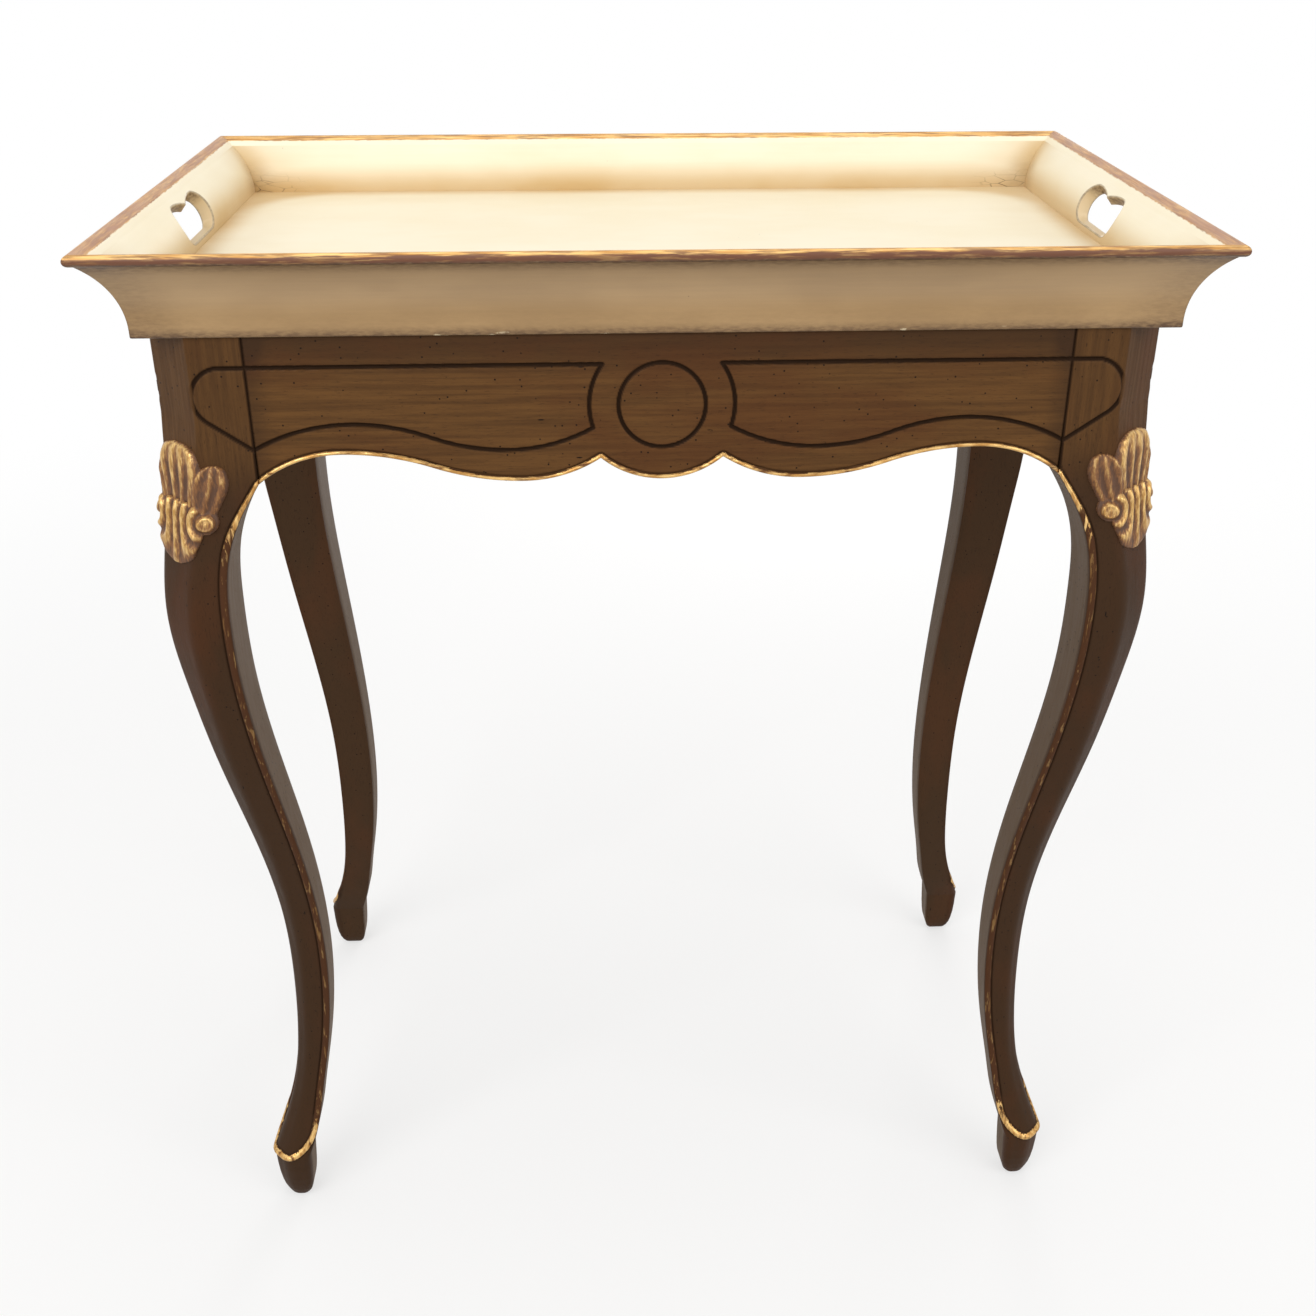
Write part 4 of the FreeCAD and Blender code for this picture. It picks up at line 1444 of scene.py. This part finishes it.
LOWER_FAN = Lobe(
    middle=0.0, start=-3.5, reach=(0, -4.5, -12, -21.5, -29.5, -35, -38),
    halves=(16.5, 20.5, 22.0, 20.5, 17, 12.5, 5), heights=(4.4, 5.6, 5.2, 4.4, 3.4, 2.5, 1.4),
    flutes=4, scallop=2.4, gold_and_light=(1.15, 0.62), eye=(23.0, -14.0), plain=Fade(0.45, 1.0, 0.4))
SCROLL = Lobe(
    middle=23.0, start=-6.8, reach=(0, -1.6, -3.8, -7.2, -10.6, -12.8, -14.4),
    halves=(1.9, 4.5, 6.4, 7.2, 6.4, 4.5, 1.9), heights=(2.2, 3.6, 4.7, 5.2, 4.6, 3.4, 2.0),
    flutes=4, gold_and_light=(0.85, 0.55), eye=(23.0, -14.0))


@dataclass
class KneeShells:
    """Carved and gilded double fans over the four knees."""

    shape: LegShape
    long_face: CarvedFace
    short_face: CarvedFace
    waist: float = 567.5
    half_span: float = 37.0
    up: float = 38.0
    down: float = 43.0
    step: float = 0.55
    sunk: float = 2.0
    turn_from: float = 0.7
    turn_to: float = 1.25
    mark_height: float = 0.12
    mark_size: float = 7.0
    seed: int = 5
    lobes: tuple[Lobe, ...] = (
        UPPER_FAN, SIDE_LEAF, SIDE_LEAF.mirrored(), LOWER_FAN, SCROLL, SCROLL.mirrored())

    def on_knee(self, span: Array, height: Array, lift: Array) -> Array:
        """Points that stand off the knee.

        Args:
            span: Distance round the corner from the diagonal.
            height: Height above the floor.
            lift: Distance off the leg's surface.

        Returns:
            Points in the corner's frame.
        """
        outer, cant = self.shape.outer(height), self.shape.chamfer(height)
        half = cant / math.sqrt(2)
        on_cant = np.minimum(np.abs(span), half)
        past = np.abs(span) - on_cant
        turn = EIGHTH - ease(half * self.turn_from, half * self.turn_to, np.abs(span)) * EIGHTH
        far = outer + cant / 2 + on_cant / math.sqrt(2) + past - np.sin(turn) * lift
        near = outer + cant / 2 - on_cant / math.sqrt(2) - np.cos(turn) * lift
        left = span < 0
        return np.stack([np.where(left, near, far), np.where(left, far, near), height], axis=-1)

    def carving(self) -> Sculpt:
        """Shape the front left shell.

        Returns:
            The shell with its mask.
        """
        spans = np.arange(-self.half_span, self.half_span + 0.1, self.step)
        rises = np.arange(-self.down, self.up + 0.1, self.step)
        span, rise = np.meshgrid(spans, rises, indexing="ij")
        lift, ridge = np.full(span.shape, -1.0), np.zeros(span.shape)
        for lobe in self.lobes:
            height, gold = lobe.lift(span, rise)
            ridge = np.where(height > lift, gold, ridge)
            lift = np.maximum(height, lift)
        uneven = lift + self.mark_height * wobble(span, rise, self.mark_size, self.seed)
        front, back = (self.on_knee(span, self.waist + rise, off).reshape(-1, 3)
                       for off in (uneven, np.full(span.shape, -self.sunk)))
        cells = grid_quads(np.arange(span.size).reshape(span.shape))
        kept = cells[(lift > 0).ravel()[cells].any(axis=1)]
        edges = np.concatenate([kept[:, [side, (side + 1) % 4]] for side in range(4)])
        seen = dict.fromkeys(map(tuple, edges.tolist()))
        rim = np.array([edge[::-1] for edge in seen if edge[::-1] not in seen])
        walls = np.hstack([rim, rim[:, ::-1] + span.size])
        quads = np.concatenate([kept, kept[:, ::-1] + span.size, walls])
        corner = np.array([-self.long_face.half_stand, -self.short_face.half_stand, 0])
        masks = {"ridge": np.concatenate([ridge.ravel(), np.zeros(span.size)])}
        return Sculpt(np.concatenate([front, back]) + corner, quads, [], masks).tidied()

    def build(self, finish: Material) -> None:
        """Make the four shells in one finish."""
        for corner, shell in self.carving().corners().items():
            shell.stand("shell_" + corner, finish, "base", "worn_gilding", "knee_shell_" + corner)


@dataclass
class WallGrid:
    """Points of one tray wall, as rows of distance along it, inset, drop, inner side and hand hole."""

    rows: Array
    quads: Index

    def grow(self, along: Array, section: Array, inner: float, tunnel: float) -> Index:
        """Add points.

        Args:
            along: Their distances along the wall.
            section: Their insets from the rim's edge and drops from its top.
            inner: 1 on the inner side of the wall.
            tunnel: 1 inside the hand hole.

        Returns:
            Numbers of the new points.
        """
        first, marks = len(self.rows), np.tile([inner, tunnel], (len(along), 1))
        self.rows = np.vstack([self.rows, np.column_stack([along, section, marks])])
        return np.arange(first, len(self.rows))


@dataclass(frozen=True)
class TrayWear:
    """Where the tray's leaf is rubbed or tinted with a painted reflection, and its paint is glazed, dirty,
    broken or darkened with painted shade.
    """

    leaf_edge: Fade = Fade(1.3, -1.3)
    leaf_rub: Fade = Fade(-0.5, 1.5, 0.35)
    # Pinkish tone on the end walls' rim band: a painted reflection.
    leaf_reflection: Fade = Fade(0.6, -1.2, 0.8)
    rubbed: float = 0.2
    nose_bare: Fade = Fade(3.0, 6.4, 0.8)
    nose_rub: Fade = Fade(0.8, 2.2, 0.6)
    # Pinkish tone on the end walls' rim nose: a painted reflection.
    nose_reflection: float = 0.5
    nose_paint: Fade = Fade(1.0, 2.5)
    # Soiling and painted shade under the rim's nose.
    nose_grime_and_shade: Fade = Fade(1.5, 4.5, 0.95)
    cove_leaf: Fade = Fade(9, 6.5, 0.25)
    # Glazing and painted shade down the cove.
    cove_glaze_and_shade: Fade = Fade(24, 40)
    # Soiling and painted shade on the cove: towards its foot, at its lower edge and just under the rim.
    cove_grime_and_shade: tuple[Fade, ...] = (Fade(30, 44, 0.12), Fade(44, 50.2, 0.6), Fade(14, 6.5, 0.55))
    cove_corner: Fade = Fade(45, 0, 0.26)
    chip: Fade = Fade(48.6, 49.6)
    # Painted shade over the long walls' inside.
    long_wall_shade: float = 0.1
    # Glazing and painted shade towards the inner corners and the floor.
    corner_glaze_and_shade: tuple[Fade, ...] = (Fade(60, 0, 0.36), Fade(22, 0, 0.45))
    low_glaze_and_shade: Fade = Fade(12, 33, 0.9)
    # Soiling and painted shade low in the inner corners.
    corner_grime_and_shade: Fade = Fade(26, 0, 0.16)
    corner_low: Fade = Fade(8, 28)
    crack_corner: Fade = Fade(48, 10)
    crack_low: Fade = Fade(22, 33)
    # Glazing and painted shade in the hand hole.
    hole_glaze_and_shade: float = 0.8
    # Darker towards the top inside the hand hole.
    hole_top_darkening: Fade = Fade(-3, -11, 0.75)
    # Soiling and painted shade round the hand hole's edges.
    hole_edge: float = 0.5
    # Glazing, soiling and painted shade on the floor near the walls and on its hidden edges.
    floor_glaze_and_shade: tuple[Fade, ...] = (Fade(20, 0, 0.72), Fade(70, 10, 0.15))
    side_glaze_and_shade: float = 0.8
    side_grime_and_shade: float = 0.4


FLARE_WAY = np.array([0.5, math.sqrt(0.75)])
FLARE_NORMAL = np.array([math.sqrt(0.75), -0.5])


@dataclass
class Tray:
    """Painted tray: four mitred cove walls with a gilt rim and two hand holes, and a floor."""

    width: float = 630.0
    depth: float = 388.0
    top: float = 712.0
    height: float = 50.5
    flare: float = 22.5
    foot: float = 4.5
    foot_edge: tuple[Point, ...] = ((8, 0), (1.0, 0), (0.3, 0.3), (0, 1.0), (0, 2.5))
    nose: float = 6.5
    tip: float = 0.75
    band: float = 12.5
    band_fall: float = 6.0
    crown: float = 0.8
    leaf: float = 9.0
    floor_inset: float = 28.5
    floor_drop: float = 36.0
    floor_thickness: float = 10.0
    floor_bend: float = 70.0
    floor_cells: tuple[int, int] = (141, 83)
    floor_border: float = 4.0
    floor_ease: float = 0.6
    floor_swell: Fade = Fade(0, 20, 0.08)
    swell_size: float = 120.0
    seed: int = 3
    ledge: float = 7.5
    mitre_gap: float = 0.04
    panel_gap: float = 0.02
    column_step: float = 9.0
    column_shift: float = 0.06
    corner_columns: tuple[float, float, int] = (0.9, 0.995, 10)
    even_columns: float = 0.89
    hole_half: float = 36.0
    hole_radius: float = 12.2
    hole_cusp: float = 4.0
    hole_taper: Point = (0.9, 0.8)
    hole_level: float = 28.69
    hole_round: float = 1.8
    hole_columns: float = 0.262
    cove_patch: Point = (46.0, 11.5)
    cove_ends: int = 4
    sweep_patch: Point = (12.9, 44.2)
    sweep_ends: int = 2
    nose_rows: int = 10
    band_rows: int = 16
    patch_rows: int = 15
    round_rows: int = 5
    patch_shares: Row = (0.34, 0.62, 0.84, 1.0)
    wear: TrayWear = TrayWear()

    def spaced(self, curve: Array, patch: Point, ends: int) -> Array:
        """Place points along a curve, evenly over the patch that a hand hole takes up.

        Args:
            curve: Fine points of the curve.
            patch: Distances down the flare where the patch starts and ends.
            ends: Number of steps before and after it.

        Returns:
            The placed points.
        """
        levels = curve @ FLARE_WAY
        marks = np.concatenate([np.linspace(levels[0], patch[0], ends + 1)[:-1],
                                np.linspace(*patch, self.patch_rows),
                                np.linspace(patch[1], levels[-1], ends + 1)[1:]])
        order = np.argsort(levels)
        return interpolated(marks, levels[order], curve[order])

    def section(self) -> tuple[Array, Array, dict[str, slice]]:
        """Outline of a wall as insets and drops.

        Returns:
            The closed outline, 1 for its rows on the inner side, and the rows that a hand hole takes up.
        """
        half_nose = self.nose / 2
        cove = level_arc((self.height - self.foot, self.flare), (self.nose, half_nose + self.tip), FINE)
        sweep = level_arc((self.floor_drop, self.floor_inset), (self.band_fall, self.band), FINE)
        cove = self.spaced(cove[:, ::-1], self.cove_patch, self.cove_ends)
        sweep = self.spaced(sweep[::-1, ::-1], self.sweep_patch, self.sweep_ends)
        low_edge = np.array([self.flare, self.height]) + np.array(self.foot_edge) * (1, -1)
        slant = math.hypot(self.band - half_nose, self.band_fall)
        crest = ((half_nose + self.band) / 2 + self.crown * self.band_fall / slant,
                 self.band_fall / 2 - self.crown * (self.band - half_nose) / slant)
        nose = arc_through((half_nose, self.nose), (0, half_nose), (half_nose, 0), self.nose_rows)
        band = arc_through((half_nose, 0), crest, (self.band, self.band_fall), self.band_rows)[1:-1]
        under, out = self.floor_drop + self.floor_thickness, self.floor_inset + self.ledge
        ledge = [(self.floor_inset, under), (out, under), (out, self.height)]
        outline = np.vstack([low_edge, cove, nose, band, sweep, ledge])
        start = len(low_edge) + len(cove) + len(nose) + len(band)
        inner = (np.arange(len(outline)) >= start).astype(float)
        firsts = {"cove": len(low_edge) + self.cove_ends, "sweep": start + self.sweep_ends}
        rows = {name: slice(first, first + self.patch_rows) for name, first in firsts.items()}
        return outline, inner, rows

    def wall(self, length: float, half_span: float, pierced: bool, cracked: bool) -> Sculpt:
        """Shape one wall in the front position.

        Args:
            length: Length at the rim.
            half_span: Distance of the rim from the table's middle.
            pierced: Whether it has a hand hole.
            cracked: Whether its paint has hair cracks in the corners.

        Returns:
            The wall with its masks.
        """
        outline, inner, rows = self.section()
        even = np.linspace(-1, 1, 2 * int(length / self.column_step) + 1)
        even = even + self.column_shift * np.sin(math.pi * even)
        close = np.linspace(*self.corner_columns)
        spread = np.concatenate([[-1], -close[::-1], even[np.abs(even) < self.even_columns], close, [1]])
        along = spread[:, None] * (length / 2 - self.mitre_gap - outline[:, 0])
        columns, around = along.shape
        points = np.column_stack([along.ravel(), np.tile(outline, (columns, 1)), np.tile(inner, columns),
                                  np.zeros(along.size)])
        grid = WallGrid(points, ring_quads(columns, around))
        if pierced:
            self.pierce(grid, outline, rows, spread)
        points = grid.rows[:, :3] * (1, 1, -1) + (0, -half_span, self.top)
        masks = self.paint(grid, length, pierced, cracked)
        return Sculpt(points, grid.quads, end_caps(columns, around), masks).tidied()

    def hole_outline(self, shares: Array) -> Array:
        """Points of the hand hole's outline.

        Args:
            shares: Places round the outline, whole numbers at the four rounded corners.

        Returns:
            Distance along the wall and up the flare, one row per place.
        """
        radius, shoulder = self.hole_radius, self.hole_half - self.hole_radius
        arcs = ((EIGHTH, QUARTER, 12), (EIGHTH, -EIGHTH, 24), (-EIGHTH, -QUARTER, 12))
        high, right, low = (on_circle(np.linspace(*arc), radius, (shoulder, 0)) for arc in arcs)
        half = np.vstack([high, level_arc((shoulder, radius), (0, radius - self.hole_cusp))[1:]])
        upper = np.vstack([half * (-1, 1), half[::-1][1:]])
        lower = np.vstack([low, (low * (-1, 1))[::-1]])
        left = (right * (-1, 1))[::-1]
        result = np.empty((len(shares), 2))
        for index, side in enumerate((upper, right, lower, left)):
            travel = np.concatenate([[0], np.cumsum(np.linalg.norm(np.diff(side, axis=0), axis=1))])
            here = (shares >= index) & (shares < index + 1)
            result[here] = interpolated((shares[here] - index) * travel[-1], travel, side)
        return result

    def pierce(self, grid: WallGrid, outline: Array, rows: dict[str, slice], spread: Array) -> None:
        """Cut the hand hole through a wall, with rounded edges.

        Args:
            grid: Points and faces of the wall, which get the hole.
            outline: Section of the wall.
            rows: Rows of the cove and of the sweep that the hole takes up.
            spread: Places of the columns, as shares of the half length.
        """
        around = len(outline)
        first, last = np.flatnonzero(np.abs(spread) < self.hole_columns)[[0, -1]]
        counts = (last - first, self.patch_rows - 1) * 2
        hole = self.hole_outline(np.concatenate([side + np.arange(count) / count
                                                 for side, count in enumerate(counts)]))
        tangent = np.roll(hole, -1, axis=0) - np.roll(hole, 1, axis=0)
        outward = np.column_stack([-tangent[:, 1], tangent[:, 0]]) / np.linalg.norm(tangent, axis=1)[:, None]
        outward *= np.sign(((hole - hole.mean(axis=0)) * outward).sum(axis=1))[:, None]
        eased = outward * (self.hole_round, -self.hole_round)
        after = np.roll(np.arange(len(hole)), -1)
        ends = {}
        for name, part in rows.items():
            on_cove = name == "cove"
            down = np.arange(part.start, part.stop)[::-1 if on_cove else 1]
            there, back = np.arange(first, last), np.arange(last, first, -1)
            loop = np.concatenate([there * around + down[0], last * around + down[:-1],
                                   back * around + down[-1], first * around + down[:0:-1]])
            column, row = np.divmod(grid.quads[:, 0], around)
            gone = (column >= first) & (column < last) & (row >= part.start) & (row < part.stop - 1)
            grid.quads = grid.quads[~gone]
            curve = outline[part]
            curve = curve[np.argsort(curve @ FLARE_WAY)]
            taper = self.hole_taper if on_cove else (1.0, 1.0)
            rim = hole * (1, -1) * taper + (0, self.hole_level)
            start = np.column_stack([grid.rows[loop, 0], grid.rows[loop, 1:3] @ FLARE_WAY])
            layers = [(start * (1 - share) + (rim + eased) * share, 0.0, 0.0) for share in self.patch_shares]
            for turn in np.linspace(0, QUARTER, self.round_rows + 1)[1:]:
                sine, sunk = math.sin(turn), self.hole_round * (1 - math.cos(turn))
                layers.append((rim + eased * (1 - sine), sunk, sine))
            for place, sunk, tunnel in layers:
                section = interpolated(place[:, 1], curve @ FLARE_WAY, curve)
                section += (sunk if on_cove else -sunk) * FLARE_NORMAL
                index = grid.grow(place[:, 0], section, float(not on_cove), tunnel)
                faces = np.column_stack([loop, loop[after], index[after], index])
                grid.quads = np.concatenate([grid.quads, faces[:, ::-1] if on_cove else faces])
                loop = index
            ends[name] = loop
        bore = np.column_stack([ends["sweep"], ends["sweep"][after], ends["cove"][after], ends["cove"]])
        grid.quads = np.concatenate([grid.quads, bore])

    def paint(self, grid: WallGrid, length: float, pierced: bool, cracked: bool) -> dict[str, Array]:
        """Masks of a wall's finish.

        Args:
            grid: Points of the wall.
            length: Length of the wall at the rim.
            pierced: Whether it is an end wall, whose rim gets a painted pinkish reflection.
            cracked: Whether its paint has hair cracks in the corners.

        Returns:
            Masks by name.
        """
        wear = self.wear
        along, inset, drop, inner, tunnel = grid.rows.T
        mitre, past_leaf = length / 2 - inset - np.abs(along), inset - self.leaf
        shown = tunnel < 0.5
        within = inner * shown
        cove = (1 - inner) * (drop > self.nose - 0.05)
        nose = (1 - inner) * (1 - cove) * (inset < self.nose / 2 - 0.01)
        band = (1 - inner) * (1 - cove) * (1 - nose)
        gilt = band * wear.leaf_edge.at(past_leaf) + nose * (1 - wear.nose_bare.at(drop))
        gilt += cove * wear.cove_leaf.at(drop)
        worn = band * (wear.rubbed + wear.leaf_rub.at(past_leaf))
        worn += nose * (wear.rubbed + wear.nose_rub.at(drop))
        # Painted reflection: the end walls' rim band and nose get the pinkish tone.
        painted_reflection = pierced * (band * wear.leaf_reflection.at(past_leaf) + nose * wear.nose_reflection)
        # Glazing and painted shade: a little painted shade over the long walls' inside, more towards the
        # inner corners and the floor, and down the cove towards its foot.
        corner = (1 - pierced) * wear.long_wall_shade + sum(fade.at(mitre) for fade in wear.corner_glaze_and_shade)
        glaze_and_shade = within * np.maximum(corner, wear.low_glaze_and_shade.at(drop)) + cove * wear.cove_glaze_and_shade.at(drop)
        # Soiling and painted shade on the cove: darker just under the rim, at its foot and towards the
        # mitres.
        dirt_and_shade = sum(fade.at(drop) for fade in wear.cove_grime_and_shade) + wear.cove_corner.at(mitre)
        # Darker towards the top inside the hand hole.
        top_darkening = tunnel * wear.hole_top_darkening.at(grid.rows[:, 1:3] @ FLARE_WAY - self.hole_level)
        # Soiling and painted shade together: also under the rim's nose, round the hand hole's edges and low
        # in the inner corners.
        grime_and_shade = np.max([
            cove * np.clip(dirt_and_shade, 0, 1), nose * wear.nose_grime_and_shade.at(drop), top_darkening,
            wear.hole_edge * ((tunnel > 0.05) & (tunnel < 0.9)),
            within * wear.corner_grime_and_shade.at(mitre) * wear.corner_low.at(drop)], axis=0)
        crack = cracked * within * wear.crack_corner.at(mitre) * wear.crack_low.at(drop)
        return {"gilt": gilt * shown, "cove": np.maximum(cove, nose * wear.nose_paint.at(drop)) * shown,
                "glaze_and_shade": np.clip(np.maximum(glaze_and_shade, wear.hole_glaze_and_shade * tunnel), 0, 1), "grime_and_shade": grime_and_shade,
                "crack": crack, "worn": worn, "chip": cove * wear.chip.at(drop), "painted_reflection": painted_reflection}

    def panel(self) -> Sculpt:
        """Shape the floor panel, square-edged, with a slight swell inside its edges.

        Returns:
            The panel with its masks.
        """
        halves = [size / 2 - self.floor_inset - self.panel_gap for size in (self.width, self.depth)]
        steps = []
        for half, count in zip(halves, self.floor_cells):
            even, edge = half - self.floor_border, half - self.floor_ease
            steps.append(np.concatenate([[-half, -edge], np.linspace(-even, even, count), [edge, half]]))
        wide, long = np.meshgrid(*steps, indexing="ij")
        gaps = halves[0] - np.abs(wide), halves[1] - np.abs(long)
        top = self.top - self.floor_drop
        swell = wobble(wide, long, self.swell_size, self.seed) * self.floor_swell.at(np.minimum(*gaps))
        points = np.stack([wide, long, top + swell], axis=-1).reshape(-1, 3)
        index = np.arange(wide.size).reshape(wide.shape)
        loop = np.concatenate([index[:-1, 0], index[-1, :-1], index[:0:-1, -1], index[0, :0:-1]])
        low = points[loop] * (1, 1, 0) + (0, 0, top - self.floor_thickness)
        below = wide.size + np.arange(len(loop))
        sides = np.column_stack([loop, below, np.roll(below, -1), np.roll(loop, -1)])
        bend = self.floor_bend
        rim = np.clip(bend - np.hypot(*(np.maximum(bend - gap, 0) for gap in gaps)), 0, None).ravel()
        masks = {name: np.zeros(wide.size + len(loop))
                 for name in ("gilt", "cove", "glaze_and_shade", "grime_and_shade", "crack", "worn", "chip", "painted_reflection")}
        # Glazing and painted shade on the floor near the walls; the hidden edges get glazing, soiling and
        # painted shade.
        masks["glaze_and_shade"][:wide.size] = sum(fade.at(rim) for fade in self.wear.floor_glaze_and_shade)
        masks["glaze_and_shade"][wide.size:] = self.wear.side_glaze_and_shade
        masks["grime_and_shade"][wide.size:] = self.wear.side_grime_and_shade
        quads = np.concatenate([grid_quads(index), sides])
        return Sculpt(np.vstack([points, low]), quads, [below[::-1].tolist()], masks).tidied()

    def build(self, along_x: Material, along_y: Material) -> None:
        """Make the four walls and the floor.

        Args:
            along_x: Finish brushed along the table.
            along_y: Finish brushed across it.
        """
        for quarters, name in enumerate(SIDES):
            ends = quarters % 2 == 1
            length, span = (self.depth, self.width / 2) if ends else (self.width, self.depth / 2)
            wall = self.wall(length, span, ends, name == "back").turned(quarters)
            wall.stand(name + "_cove_wall", along_y if ends else along_x, "tray", "antiqued_cream_paint",
                       "tray_" + name + "_wall")
        self.panel().stand("floor_panel", along_x, "tray", "antiqued_cream_paint", "tray_floor")


@dataclass
class Joinery:
    """Pieces that show only from below: blocks, cleats, splines and screws."""

    def dress(self) -> None:
        """Give the frame's own pieces their finishes."""
        along_x, along_y = (RawWood(axis).material() for axis in (GrainAxis.ALONG_X, GrainAxis.ALONG_Y))
        steel = ScrewSteel().material()
        finishes = {"screws": steel, "batten": along_y, "block": along_x, "splines": along_x}
        for name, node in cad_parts.items():
            kind = next((kind for kind in finishes if kind in name), None)
            if kind:
                node.data.materials.clear()
                node.data.materials.append(finishes[kind])
                LOG.info("%s dressed", name)


def main() -> None:
    """Build the studio, the stand and the tray."""
    logging.basicConfig(level=logging.INFO, format="%(message)s")
    Studio().build()
    shape = LegShape()
    long_face = CarvedFace(half_stand=290.2, medallion=True, leg=shape)
    short_face = CarvedFace(half_stand=169.2, medallion=False, leg=shape)
    walnut = {axis: StainedWalnut(axis).material() for axis in GrainAxis}
    CabrioleLegs(shape, long_face, short_face).build(walnut[GrainAxis.ALONG_Z])
    Aprons(long_face, short_face).build(walnut[GrainAxis.ALONG_X], walnut[GrainAxis.ALONG_Y])
    KneeShells(shape, long_face, short_face).build(CarvedGilding().material())
    Tray().build(AntiquedCream(GrainAxis.ALONG_X).material(), AntiquedCream(GrainAxis.ALONG_Y).material())
    Joinery().dress()


if __name__ == "__main__":
    main()
